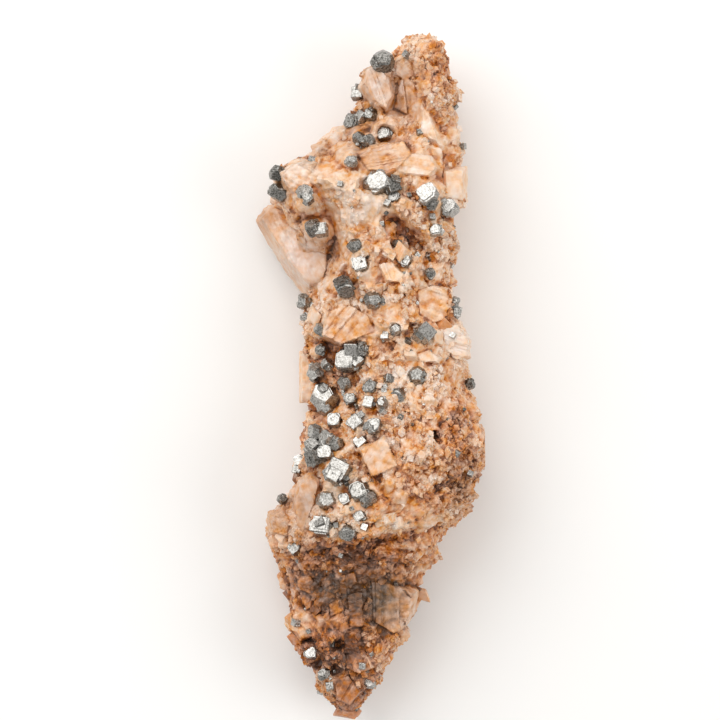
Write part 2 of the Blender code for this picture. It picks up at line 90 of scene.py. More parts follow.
CUBE, TWELVE, MIXED = Habit.CUBE, Habit.TWELVE, Habit.MIXED


def along(line: list[tuple[float, float]], y: np.ndarray) -> np.ndarray:
    """Value at y of a line given as (y, value) points that run down from the spire.

    Args:
        line: points from the spire to the foot.
        y: places along the specimen.

    Returns:
        The line's value at each place, straight between the points.
    """
    ys, values = np.array(line[::-1], float).T
    return np.interp(y, ys, values)


def lattice_number(cell: np.ndarray, channel: int) -> np.ndarray:
    """A repeatable number from 0 to 1 for each cell of a lattice of whole numbers.

    Args:
        cell: whole-number places, three in the last axis.
        channel: picks one of the cell's many numbers.

    Returns:
        The numbers: the place is multiplied by three primes, and the bits are mixed twice.
    """
    cell = cell.astype(np.int64).astype(np.uint32)
    mixed = cell[..., 0] * np.uint32(73856093) ^ cell[..., 1] * np.uint32(19349663)
    mixed = mixed ^ cell[..., 2] * np.uint32(83492791) ^ np.uint32(channel * 40503 + 977)
    for shift, factor in ((16, 2246822507), (13, 3266489909)):
        mixed = (mixed ^ (mixed >> np.uint32(shift))) * np.uint32(factor)
    return (mixed ^ (mixed >> np.uint32(16))) / float(2**32)


def turned_rhomb(spin: np.ndarray, pitch: np.ndarray, roll: np.ndarray) -> list[np.ndarray]:
    """The three face normals of a dolomite rhomb, each 43.8 degrees off its axis, turned by three angles.

    Args:
        spin: turn about the rhomb's own axis.
        pitch: turn about Y.
        roll: turn about X.

    Returns:
        Three arrays of unit vectors.
    """
    axes = []
    for k in range(3):
        azimuth = spin + k * 2 * math.pi / 3
        x = math.sin(RHOMB_TILT) * np.cos(azimuth)
        y = math.sin(RHOMB_TILT) * np.sin(azimuth)
        z = np.full_like(x, math.cos(RHOMB_TILT))
        x, z = x * np.cos(pitch) + z * np.sin(pitch), z * np.cos(pitch) - x * np.sin(pitch)
        y, z = y * np.cos(roll) - z * np.sin(roll), z * np.cos(roll) + y * np.sin(roll)
        axes.append(np.stack([x, y, z], -1))
    return axes


@dataclass(frozen=True)
class Facets:
    """What the rhomb that a point lies deepest in gives it.

    Attributes:
        depth: how far inside the rhomb the point is, as a share of the lattice's size; below 0 it is outside.
        seam: from 0 on a face to 1 in a corner between rhombs.
        tint: a random number a rhomb.
        axes: the rhomb's three face normals.
    """

    depth: np.ndarray
    seam: np.ndarray
    tint: np.ndarray
    axes: np.ndarray


def facets(points: np.ndarray, size: float, family: int) -> Facets:
    """Finds the rhomb that each point of a grid lies deepest in.

    One rhomb sits in each cell of a lattice. A point's depth in it is the way to the nearest of its six faces, and
    the deepest of the rhombs in the 27 cells around counts. The depth changes smoothly from point to point, is flat
    under each face and creased under each edge. Where the second deepest is as deep, two rhombs meet in a seam.

    Args:
        points: places in millimetres, a grid of rings by columns.
        size: side of the lattice's cells in millimetres.
        family: rhombs in a block of this many cells a side lie nearly the same way, as cleaved from one crystal.

    Returns:
        The rhombs' depths, seams, tints and axes, as grids.
    """
    grid = points.shape[:-1]
    places = points.reshape(-1, 3) / size
    home = np.floor(places).astype(np.int64)
    low = home.min(0) - 1
    shape = home.max(0) - low + 2
    cells = np.stack(np.meshgrid(*(np.arange(count) for count in shape), indexing="ij"), -1).reshape(-1, 3) + low
    centres = (cells + np.stack([lattice_number(cells, k) for k in range(3)], -1)).astype(np.float32)
    angles = [2 * math.pi * (lattice_number(cells // family, k) + STRAY * lattice_number(cells, k + 10))
              for k in (3, 4, 5)]
    axes = np.stack(turned_rhomb(*angles), 1).astype(np.float32)
    halves = HALF_LEAST + HALF_SPREAD * np.stack([lattice_number(cells, k) for k in (6, 7, 8)], -1)
    halves = halves.astype(np.float32)
    tints = lattice_number(cells, 9)
    stride = np.array([shape[1] * shape[2], shape[2], 1])
    at_home = (home - low) @ stride
    places = places.astype(np.float32)
    deepest = np.full(len(places), -1.0, np.float32)
    second = deepest.copy()
    winner = at_home.copy()
    for step in itertools.product((-1, 0, 1), repeat=3):
        at = at_home + np.array(step) @ stride
        offset = np.abs(np.einsum("nij,nj->ni", axes[at], places - centres[at]))
        depth = (halves[at] - offset).min(1)
        deeper = depth > deepest
        second = np.where(deeper, deepest, np.maximum(second, depth))
        winner = np.where(deeper, at, winner)
        deepest = np.maximum(deepest, depth)
    seam = 1 - np.clip((deepest - second) / SEAM_WIDTH, 0, 1)
    return Facets(deepest.reshape(grid), seam.reshape(grid), tints[winner].reshape(grid),
                  axes[winner].reshape(*grid, 3, 3))


def solid_faces(normals: np.ndarray, reaches: np.ndarray) -> tuple[np.ndarray, list[list[int]]]:
    """The convex solid that lies within every plane.

    A corner is where three planes meet inside all the others. A face is the ring of corners on one plane, in
    order of their angle round its middle.

    Args:
        normals: unit vectors out of the planes.
        reaches: how far each plane lies from the origin.

    Returns:
        The corners, and for each face the list of its corners.
    """
    trios = np.array(list(itertools.combinations(range(len(normals)), 3)))
    trios = trios[np.abs(np.linalg.det(normals[trios])) > 1e-3]
    met = np.linalg.solve(normals[trios], reaches[trios][..., None])[..., 0]
    met = met[(met @ normals.T <= reaches + 1e-5).all(1)]
    apart = np.linalg.norm(met[:, None] - met[None], axis=2) > 1e-3
    corners = met[[apart[i, :i].all() for i in range(len(met))]]
    faces = []
    for normal, reach in zip(normals, reaches):
        ring = np.flatnonzero(np.abs(corners @ normal - reach) < 2e-3)
        if len(ring) < 3:
            continue
        spokes = corners[ring] - corners[ring].mean(0)
        east = spokes[0] / np.linalg.norm(spokes[0])
        angle = np.arctan2(spokes @ np.cross(normal, east), spokes @ east)
        faces.append(ring[np.argsort(angle)].tolist())
    return corners, faces


def linear(colour: str) -> tuple[float, float, float, float]:
    """An sRGB hex colour as the linear values that a shader takes."""
    parts = np.array([int(colour[i:i + 2], 16) for i in (1, 3, 5)]) / 255
    parts = np.where(parts <= 0.04045, parts / 12.92, ((parts + 0.055) / 1.055) ** 2.4)
    return (*parts.tolist(), 1.0)


def add_node(tree: bpy.types.NodeTree, kind: str, settings: dict, links: dict) -> bpy.types.Node:
    """Adds a shader node with its settings and links.

    Args:
        tree: the material's nodes.
        kind: the node's type.
        settings: values of input sockets, by name or number, or of the node's own properties.
        links: the output socket that feeds each named or numbered input.

    Returns:
        The new node.
    """
    node = tree.nodes.new(kind)
    for name, value in settings.items():
        if isinstance(name, int) or name in node.inputs:
            node.inputs[name].default_value = value
        else:
            setattr(node, name, value)
    for name, source in links.items():
        tree.links.new(source, node.inputs[name])
    return node


def ramp(tree: bpy.types.NodeTree, source: bpy.types.NodeSocket, stops: list[tuple[float, str]]) -> bpy.types.Node:
    """Adds a colour ramp with sRGB hex stops.

    Args:
        tree: the material's nodes.
        source: the value that runs along the ramp.
        stops: place and colour of each stop, in order.

    Returns:
        The ramp node.
    """
    node = add_node(tree, "ShaderNodeValToRGB", {}, {"Fac": source})
    elements = node.color_ramp.elements
    while len(elements) < len(stops):
        elements.new(1.0)
    for element, (place, colour) in zip(elements, stops):
        element.position = place
        element.color = linear(colour)
    return node


def weighted(tree: bpy.types.NodeTree, terms: list[tuple[bpy.types.NodeSocket, float]],
             base: float) -> bpy.types.NodeSocket:
    """A weighted sum of sockets.

    Args:
        tree: the material's nodes.
        terms: each socket with its weight.
        base: what the sum starts from.

    Returns:
        The socket that holds the sum.
    """
    total = None
    for socket, weight in terms:
        settings = {"operation": "MULTIPLY_ADD", 1: weight}
        links = {0: socket}
        if total is None:
            settings[2] = base
        else:
            links[2] = total
        total = add_node(tree, "ShaderNodeMath", settings, links).outputs["Value"]
    return total


@dataclass
class Pile:
    """Loose flat-faced solids that become one mesh, with numbers painted on their points.

    Attributes:
        points: arrays of places in millimetres.
        lies: arrays of the same places in each crystal's own directions, which its grain follows.
        loops: arrays of the point numbers round every face.
        sizes: arrays of the number of corners of every face.
        paint: for each attribute, arrays of one number a point.
    """

    points: list[np.ndarray] = field(default_factory=list)
    lies: list[np.ndarray] = field(default_factory=list)
    loops: list[np.ndarray] = field(default_factory=list)
    sizes: list[np.ndarray] = field(default_factory=list)
    paint: dict[str, list[np.ndarray]] = field(default_factory=dict)
    count: int = 0

    def add(self, points: np.ndarray, faces: list[list[int]] | list[np.ndarray], lie: np.ndarray,
            **paint: np.ndarray | float) -> None:
        """Adds one or many copies of a solid.

        Args:
            points: an array (points, 3) for one solid, or (solids, points, 3) for many of the same faces.
            faces: the faces of one solid.
            lie: the points in the crystal's own directions.
            paint: one number for all, for each solid, or for each point.
        """
        many = points if points.ndim == 3 else points[None]
        solids, corners = many.shape[:2]
        groups = [np.atleast_2d(face) for face in faces]
        ring = np.concatenate([group.reshape(-1) for group in groups])
        sizes = np.concatenate([np.full(len(group), group.shape[1]) for group in groups])
        starts = self.count + np.arange(solids)[:, None] * corners
        self.points.append(many.reshape(-1, 3))
        self.lies.append(np.broadcast_to(lie, many.shape).reshape(-1, 3))
        self.loops.append((starts + ring[None]).reshape(-1))
        self.sizes.append(np.tile(sizes, solids))
        for name, value in paint.items():
            value = np.asarray(value, float)
            if value.ndim == 1 and len(value) == solids:
                value = value[:, None]
            self.paint.setdefault(name, []).append(np.broadcast_to(value, (solids, corners)).reshape(-1))
        self.count += solids * corners

    def to_object(self, name: str, material: bpy.types.Material) -> bpy.types.Object:
        """Makes the mesh in metres, dresses it and has it ride on the specimen.

        Args:
            name: the piece's name.
            material: its finish.

        Returns:
            The piece.
        """
        low, high = np.array(CAD_BOX)
        points = np.clip((np.concatenate(self.points) + CENTRING) * MM, low, high)
        loops = np.concatenate(self.loops)
        sizes = np.concatenate(self.sizes)
        mesh = bpy.data.meshes.new(name)
        mesh.vertices.add(len(points))
        mesh.vertices.foreach_set("co", points.astype(np.float32).reshape(-1))
        mesh.loops.add(len(loops))
        mesh.loops.foreach_set("vertex_index", loops.astype(np.int32))
        mesh.polygons.add(len(sizes))
        mesh.polygons.foreach_set("loop_start", (np.cumsum(sizes) - sizes).astype(np.int32))
        mesh.update(calc_edges=True)
        layer = mesh.attributes.new("lie", "FLOAT_VECTOR", "POINT")
        layer.data.foreach_set("vector", np.concatenate(self.lies).astype(np.float32).reshape(-1))
        for attribute, values in self.paint.items():
            layer = mesh.attributes.new(attribute, "FLOAT", "POINT")
            layer.data.foreach_set("value", np.concatenate(values).astype(np.float32))
        mesh.shade_flat()
        mesh.materials.append(material)
        obj = bpy.data.objects.new(name, mesh)
        bpy.context.scene.collection.objects.link(obj)
        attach(obj, BODY)
        log.info("%s: %d faces", name, len(sizes))
        return obj


@dataclass(frozen=True)
class SpotMap:
    """A number that changes over the face of the specimen, as a base with bell-shaped spots on it.

    Attributes:
        base: the number where there is no spot.
        spots: x, y, reach along X and Y, and amount of each. It fades with the square of the distance.
    """

    base: float
    spots: tuple[tuple[float, float, float, float, float], ...]

    def at(self, points: np.ndarray) -> np.ndarray:
        """The number at each place, seen from above."""
        x, y = points[..., 0], points[..., 1]
        total = np.full(x.shape, self.base)
        for cx, cy, reach_x, reach_y, amount in self.spots:
            total += amount * np.exp(-((x - cx) / reach_x) ** 2 - ((y - cy) / reach_y) ** 2)
        return total


# How far iron has stained the dolomite, with some painted shade: 0 is pinkish cream, 0.5 orange tan and 1 the darkest
# brown.
# The spot at (-9.3, 28) is painted shade in the gap beside the large left crystal, and the one at (-10.5, -14) is
# partly rust and partly painted shade between the pyrites of the cluster.
STAIN_AND_SHADE = SpotMap(0.27, (
    (-15.5, 26.5, 9, 9, -0.09), (-20, 36.5, 7, 4, 0.20), (14.8, 68, 4.2, 9, 0.30), (8, 62, 3.5, 7, 0.12),
    (6.5, 32, 3.4, 2.6, 0.16), (10.8, 27.8, 2.6, 2.2, 0.04), (16, 26, 5, 8, -0.08), (-9, 2, 5, 9, 0.34),
    (0.5, 21, 6, 4, 0.02), (10, 21, 6, 5, -0.04), (-8.5, 54, 3.5, 3, 0.10), (5.0, 34.8, 2.0, 1.2, 0.45), (9.4, 32, 1.6, 1.6, 0.45),
    (18, 8, 4.5, 5, -0.20), (-6.5, 12.5, 6, 4, -0.02), (9.5, -2, 8, 6, -0.24), (18.5, -9, 4, 5, 0.26),
    (20, -20, 6, 9, 0.26), (10, -27, 10, 4, 0.14), (1, -18, 4, 5, -0.02), (-2, -39, 16, 4, 0.38),
    (-9, -47, 12, 6, 0.60), (3, -52, 7, 7, 0.33), (-9, -62, 10, 7, 0.66), (-6, -74, 6, 5, 0.46),
    (14, 3, 6, 5, 0.06), (1.5, 48.5, 7, 3, 0.05), (-3, 38, 12, 6, -0.12), (13, 56, 4, 6, -0.07), (-25, 36, 3, 4, 0.10),
    (-9.3, 28, 2.2, 5, 0.25), (-2.5, 57, 4, 5, 0.20), (-10.5, -14, 4, 6, 0.15), (18, -8, 1.8, 1.8, 0.16), (14.1, -13.2, 1.0, 1.2, 0.5), (0.9, -37, 1.4, 0.8, 0.5),
))
# How grey and glassy the dolomite is: 0 is plain, and at 1 it is pinkish grey where pale and olive grey where dark
SMOKE = SpotMap(0.06, (
    (-16, 27, 8, 8, 0.7), (-25, 36, 3, 4, 0.7), (-20.5, 43, 3, 4, 0.5), (-13.5, 51.5, 4, 3, 0.4), (-5, 12, 7, 5, 0.35), (2, 48.5, 6, 3, 0.2), (6.5, 63, 4, 8, 0.6),
    (0, 66, 4, 6, 0.6), (-2.5, 57, 4, 5, 0.4), (-8.5, 54, 4, 3, 0.3), (-1, 50, 5, 3, 0.3), (-15, -28, 3, 7, 0.8), (-21.5, -32, 4, 5, 0.6), (20, -25, 4, 6, 0.5),
    (-8, -48, 11, 6, 0.6), (4, -52, 6, 7, 0.9), (-8, -68, 8, 6, 0.2), (1, -18, 4, 5, 0.35),
))
# Where the rock lies in thin brown layers
STRATA = SpotMap(0.0, ((-2, -39.5, 17, 4.5, 1.0), (-13, -47, 8, 5, 0.5), (-16, 43, 5, 5, 0.3)))
# Where small grains crust the surface: 0 is a smooth crystal face and 1 a sugary crust
SUGAR = SpotMap(0.44, (
    (-17, 27, 9, 7, -0.5), (-19, 37.5, 7, 3.5, 0.4), (15, 67, 4.5, 12, 0.45), (5, 62, 5, 9, -0.5), (-2.5, 57, 4, 5, -0.3),
    (1, 48, 8, 4, -0.4), (9, 45.5, 8, 4, -0.4), (-12, 46, 8, 5, -0.3), (15.5, 53, 4, 6, -0.3),
    (8, 30, 8, 7, 0.35), (-4, 37, 8, 6, -0.32), (-6, 12, 6, 5, -0.3), (18, 8, 4, 5, -0.35), (12, -8, 10, 10, 0.3), (18, -20, 9, 10, 0.45),
    (0, -37, 18, 5, 0.35), (-7, -47, 10, 4, -0.4), (2, -52, 8, 6, -0.3), (-8, -64, 9, 9, 0.15),
))


@dataclass(frozen=True)
class DolomiteFinish:
    """Dolomite, grown and cleaved: a pale pearly stone, stained peach to brown by iron in its seams.

    The eye sees soft light just under the surface of fresh faces, a pearly gleam on the cleavages, fine lines along
    them and dull rust where the grains are small.

    Attributes:
        name: the material's name.
        shift: moves the colour towards cream (below 0) or brown (above 0).
        gleam: roughness of the cleavage faces.
        depth: share of light that goes under the surface.
        spread: how far that light travels, in millimetres.
        lines: share of the colour and relief that follows the cleavage lines.
    """

    name: str
    shift: float = 0.0
    gleam: float = 0.42
    depth: float = 0.1
    spread: float = 0.6
    lines: float = 0.14

    def build(self) -> bpy.types.Material:
        """Makes the material.

        Returns:
            A material whose colour runs along two ramps, plain and glassy, that are mixed by the painted smoke: the
            painted stain with clouds, lines and grains added.
        """
        material = bpy.data.materials.new(self.name)
        material.use_nodes = True
        tree = material.node_tree
        shader = tree.nodes["Principled BSDF"]
        lie = add_node(tree, "ShaderNodeAttribute", {"attribute_name": "lie"}, {}).outputs["Vector"]
        stain = add_node(tree, "ShaderNodeAttribute", {"attribute_name": "stain"}, {}).outputs["Fac"]
        sugar = add_node(tree, "ShaderNodeAttribute", {"attribute_name": "sugar"}, {}).outputs["Fac"]
        smoke = add_node(tree, "ShaderNodeAttribute", {"attribute_name": "smoke"}, {}).outputs["Fac"]
        place = add_node(tree, "ShaderNodeTexCoord", {}, {}).outputs["Object"]
        # Per metre: clouds of stain 3 mm across, blotches of 1 mm and grains of 0.4 mm
        cloud = add_node(tree, "ShaderNodeTexNoise", {"Scale": 330, "Detail": 2, "Roughness": 0.6}, {"Vector": place})
        blotch = add_node(tree, "ShaderNodeTexNoise", {"Scale": 950, "Detail": 3, "Roughness": 0.65},
                          {"Vector": place})
        grain = add_node(tree, "ShaderNodeTexVoronoi", {"distance": "CHEBYCHEV", "Scale": 2300}, {"Vector": place})
        own = add_node(tree, "ShaderNodeSeparateColor", {}, {"Color": grain.outputs["Color"]}).outputs["Red"]
        sugared = add_node(tree, "ShaderNodeMath", {"operation": "MULTIPLY"}, {0: own, 1: sugar}).outputs["Value"]
        grained = add_node(tree, "ShaderNodeMath", {"operation": "MULTIPLY"},
                           {0: grain.outputs["Distance"], 1: sugar}).outputs["Value"]
        # Per millimetre of each crystal's own directions: cleavage lines 0.4 mm apart
        lines = add_node(tree, "ShaderNodeTexNoise", {"Scale": 2.4, "Detail": 3, "Roughness": 0.7}, {"Vector": lie})
        total = weighted(tree, [(stain, 1.0), (cloud.outputs["Fac"], 0.35), (blotch.outputs["Fac"], 0.35),
                                (lines.outputs["Fac"], self.lines), (sugared, 0.3), (sugar, -0.15)],
                         self.shift - 0.35 - self.lines / 2)
        plain = ramp(tree, total, [
            (0.0, "#efd8c6"), (0.2, "#eac6a4"), (0.4, "#e2a772"), (0.55, "#cd844d"), (0.7, "#a26135"),
            (0.85, "#6c4128"), (1.0, "#37241b"),
        ])
        glassy = ramp(tree, total, [
            (0.0, "#d6bcae"), (0.2, "#cba58d"), (0.4, "#b98b67"), (0.55, "#9c724e"), (0.7, "#795737"),
            (0.85, "#543b23"), (1.0, "#302215"),
        ])
        mixed = add_node(tree, "ShaderNodeMixRGB", {},
                         {"Fac": smoke, "Color1": plain.outputs["Color"], "Color2": glassy.outputs["Color"]})
        # Patches of 2 mm are greyer or rustier than the rest
        rust = add_node(tree, "ShaderNodeTexNoise", {"Scale": 480, "Detail": 2}, {"Vector": place})
        richness = add_node(tree, "ShaderNodeMapRange", {"From Min": 0.3, "From Max": 0.7, "To Min": 0.68,
                                                         "To Max": 1.22}, {"Value": rust.outputs["Fac"]})
        colour = add_node(tree, "ShaderNodeHueSaturation", {},
                          {"Color": mixed.outputs["Color"], "Saturation": richness.outputs["Result"]})
        tree.links.new(colour.outputs["Color"], shader.inputs["Base Color"])
        shader.inputs["IOR"].default_value = 1.6
        shader.inputs["Subsurface Weight"].default_value = self.depth
        shader.inputs["Subsurface Radius"].default_value = (1.0, 0.7, 0.5)
        shader.inputs["Subsurface Scale"].default_value = self.spread * MM
        rough = add_node(tree, "ShaderNodeMapRange", {"To Min": self.gleam, "To Max": self.gleam + 0.3},
                         {"Value": sugar})
        tree.links.new(rough.outputs["Result"], shader.inputs["Roughness"])
        relief = weighted(tree, [(grained, -1.2), (blotch.outputs["Fac"], 0.3), (lines.outputs["Fac"], 2.5 * self.lines)],
                          0)
        bump = add_node(tree, "ShaderNodeBump", {"Strength": 0.8, "Distance": 0.3 * MM}, {"Height": relief})
        tree.links.new(bump.outputs["Normal"], shader.inputs["Normal"])
        return material


@dataclass(frozen=True)
class PyriteFinish:
    """Pyrite, grown: a steel-grey metal sheen on flat faces with fine growth stripes.

    The eye sees whole faces flash white or go nearly black as they turn from the light, and dull tarnish on some.
    """

    name: str = "pyrite_grown"

    def build(self) -> bpy.types.Material:
        """Makes the material: a metal tinted by each crystal's own number, with stripes and patches of tarnish."""
        material = bpy.data.materials.new(self.name)
        material.use_nodes = True
        tree = material.node_tree
        shader = tree.nodes["Principled BSDF"]
        lie = add_node(tree, "ShaderNodeAttribute", {"attribute_name": "lie"}, {}).outputs["Vector"]
        tint = add_node(tree, "ShaderNodeAttribute", {"attribute_name": "tint"}, {}).outputs["Fac"]
        place = add_node(tree, "ShaderNodeTexCoord", {}, {}).outputs["Object"]
        # Pits and tarnish lie in patches of about 0.4 mm, and growth stripes are about 0.3 mm apart
        patch = add_node(tree, "ShaderNodeTexNoise", {"Scale": 2300, "Detail": 3, "Roughness": 0.7}, {"Vector": place})
        stripe = add_node(tree, "ShaderNodeTexNoise", {"Scale": 3.2, "Detail": 2, "Roughness": 0.6}, {"Vector": lie})
        total = weighted(tree, [(tint, 0.3), (patch.outputs["Fac"], 1.1), (stripe.outputs["Fac"], 0.4)], -0.4)
        colour = ramp(tree, total, [(0.2, "#4c4a45"), (0.42, "#8d8a85"), (0.66, "#bebbb6"), (0.95, "#f0eeea")])
        tree.links.new(colour.outputs["Color"], shader.inputs["Base Color"])
        shader.inputs["Metallic"].default_value = 1.0
        rough = add_node(tree, "ShaderNodeMapRange", {"To Min": 0.12, "To Max": 0.46}, {"Value": patch.outputs["Fac"]})
        tree.links.new(rough.outputs["Result"], shader.inputs["Roughness"])
        relief = weighted(tree, [(stripe.outputs["Fac"], 0.8), (patch.outputs["Fac"], 1.0)], 0)
        bump = add_node(tree, "ShaderNodeBump", {"Strength": 0.6, "Distance": 0.14 * MM}, {"Height": relief})
        tree.links.new(bump.outputs["Normal"], shader.inputs["Normal"])
        return material


Ceiling = Callable[[np.ndarray, np.ndarray], np.ndarray]


@dataclass(frozen=True)
class Crust:
    """The finished surface of the matrix, one number or direction a point.

    Attributes:
        points: places in millimetres.
        outward: directions away from the rock.
        lie: the points in the directions of their own crystals.
        stain: how brown the dolomite is, from iron stain and from painted shade that darkens its pits.
        sugar: how thickly small grains crust it.
    """

    points: np.ndarray
    outward: np.ndarray
    lie: np.ndarray
    stain: np.ndarray
    sugar: np.ndarray


@dataclass(frozen=True)
class Body:
    """The dolomite matrix as rings round its length, in bands that each close to a solid."""

    top_end: float = 76.6
    bottom_end: float = -77.8
    bands: int = 4
    rows: int = 197
    front_columns: int = 400
    back_columns: int = 92
    back_weight: float = 0.45
    end_rows: int = 20
    end_dome: float = 0.5
    boxiness: float = 0.86
    crease: float = 35
    facet_level: float = 0.22
    facet_reach: tuple[float, float] = (0.02, 0.5)
    coarse: tuple[tuple[float, float], ...] = ((9.0, 0.6), (4.4, 0.9))
    # size, share in sugar, share on smooth faces, and how much the colour changes from grain to grain
    fine: tuple[tuple[float, float, float, float], ...] = (
        (2.4, 0.9, 0.45, 0.16), (1.3, 1.1, 0.30, 0.22), (0.75, 1.3, 0.2, 0.26),
    )
    # Share of the small facets' relief that is left on the steep sides
    side_share: float = 0.35
    # Size of the patches that are smooth or sugary, and how much they and the crystals differ in sugar and stain
    patch: float = 3.4
    patch_sugar: float = 1.1
    patch_stain: float = 0.2
    brownest: float = 0.86
    # Thin layers: width, rise of the proudest, change of stain, slope across, and how far crystals bend them
    layer_width: float = 0.95
    layer_rise: float = 1.1
    layer_stain: float = 0.45
    layer_slope: float = 0.12
    layer_bend: float = 2.2
    left_edge: tuple[tuple[float, float], ...] = (
        (77.7, 8.5), (75.5, 6.5), (73.5, 5.0), (71.5, 1.5), (69, -2.5), (62, -3.0), (57.5, -5.5), (56, -9.0),
        (52, -13.0), (50, -15.0), (49, -17.5), (46.5, -21.5), (43, -22.5), (39, -22.5), (33, -18.0),
        (24, -15.0), (19, -13.5), (13, -15.0), (4, -14.5), (-6, -14.5), (-16, -15.5), (-19, -17.0),
        (-25, -18.0), (-28, -20.0), (-30, -22.5), (-35, -23.5), (-40, -22.5), (-47, -20.0), (-53, -19.5),
        (-57, -19.0), (-60, -17.5), (-64, -14.5), (-68, -13.0), (-71, -13.0), (-73, -11.0), (-75, -9.0),
        (-77.8, -6.5),
    )
    right_edge: tuple[tuple[float, float], ...] = (
        (77.7, 13.5), (75, 16.0), (72, 17.0), (65, 19.0), (59, 19.0), (55, 19.2), (50, 20.0), (43, 19.6),
        (35, 18.9), (29, 19.1), (23, 18.3), (18, 17.5), (13, 18.1), (9.5, 21.0), (4, 21.5), (0, 23.0),
        (-4, 22.3), (-8, 22.8), (-11, 23.5), (-14, 25.3), (-17, 26.3), (-20, 25.8), (-23, 24.4), (-27, 23.0),
        (-32, 19.8), (-35, 17.8), (-40, 14.4), (-44, 11.9), (-48, 9.6), (-50, 10.2), (-52, 9.2), (-57, 7.8),
        (-62, 6.0), (-66, 3.4), (-71, 0.0), (-74, -2.0), (-77.8, -4.0),
    )
    crest_line: tuple[tuple[float, float], ...] = (
        (77.7, 18), (75, 22), (70, 24.5), (62, 25.5), (55, 25.5), (50, 27.5), (46, 30), (40, 31), (30, 31),
        (20, 30), (10, 29.5), (0, 30.5), (-8, 32), (-17, 34), (-28, 33.5), (-38, 32), (-44, 29), (-52, 27),
        (-58, 26), (-64, 24.5), (-70, 21.5), (-75, 17.5), (-77.8, 13),
    )
    rim_line: tuple[tuple[float, float], ...] = (
        (77.7, 14.5), (60, 15), (40, 14), (0, 14), (-20, 15), (-40, 13), (-60, 12), (-77.8, 10),
    )
    back_line: tuple[tuple[float, float], ...] = (
        (77.7, 11), (70, 6), (62, 3), (55, 0.4), (45, -1.2), (30, -0.4), (10, -1.3), (-10, -0.5), (-25, -1.4),
        (-40, -0.6), (-52, -0.2), (-60, 1.5), (-68, 3.2), (-74, 5.5), (-77.8, 8),
    )
    # x, y, reach along and across, turn in degrees, height
    swells: tuple[tuple[float, float, float, float, float, float], ...] = (
        (13.5, 67, 4.5, 14, 0, 2.0), (6.6, 62.5, 3.6, 8, 0, -5.0), (-5.2, 57, 8, 5.5, 0, -5.0),
        (-10, 42.5, 9, 8, 0, 2.0), (10.5, 38, 8, 6, 0, 1.5), (6.2, 32.4, 5.4, 2.4, -46, -7.0),
        (10.8, 27.6, 3.6, 2.1, -46, -4.0),
        (-8.2, 26, 2.2, 6, 28, -3.5), (17.5, 21, 4, 6, 0, -2.0), (-8.0, -2.5, 5.5, 8.5, 0, -4.5),
        (0.8, -6.5, 2.6, 3.6, 0, -2.5), (12, -16, 11, 13, 0, 2.0), (-12, -57, 7, 7, 0, 2.5),
        (-8.0, -60.6, 1.6, 1.2, 0, -2.6), (-8.6, -66.6, 2.4, 1.3, 0, -2.6), (14.1, -13.2, 0.9, 1.3, 30, -2.2),
    )
    # y of the shelf at x = 0, slope, drop, and length of the drop
    shelf: tuple[float, float, float, float] = (-34.6, 0.17, 4.5, 2.2)

    def relief(self, x: np.ndarray, y: np.ndarray) -> np.ndarray:
        """Swells, hollows and the shelf of the face, in millimetres over the plain crown.

        Args:
            x: places across.
            y: places along.

        Returns:
            A bell for each swell, and a smooth step down below the shelf that recovers over 40 mm.
        """
        height = np.zeros_like(x)
        for cx, cy, reach_x, reach_y, turn, rise in self.swells:
            c, s = math.cos(math.radians(turn)), math.sin(math.radians(turn))
            u = ((x - cx) * c + (y - cy) * s) / reach_x
            v = ((y - cy) * c - (x - cx) * s) / reach_y
            height += rise * np.exp(-(u * u + v * v) ** 1.5)
        start, slope, drop, length = self.shelf
        below = np.clip((start + slope * x - y) / length, 0, 1)
        recovery = np.clip((start + slope * x - y) / 40, 0, 1)
        return height - drop * below * below * (3 - 2 * below) * (1 - recovery)

    def height(self, x: np.ndarray, y: np.ndarray) -> np.ndarray:
        """Height of the face at a place seen from above, before the facets: a crown from rim to crest.

        Args:
            x: places across.
            y: places along.

        Returns:
            Heights in millimetres.
        """
        left, right = along(self.left_edge, y), along(self.right_edge, y)
        rim, crest = along(self.rim_line, y), along(self.crest_line, y)
        across = np.clip(np.abs((x - (left + right) / 2) / ((right - left) / 2)), 0, 1) ** (2 / self.boxiness)
        up = (1 - across) ** (self.boxiness / 2)
        return rim + (crest - rim) * up + self.relief(x, y) * np.clip(up * 2, 0, 1)

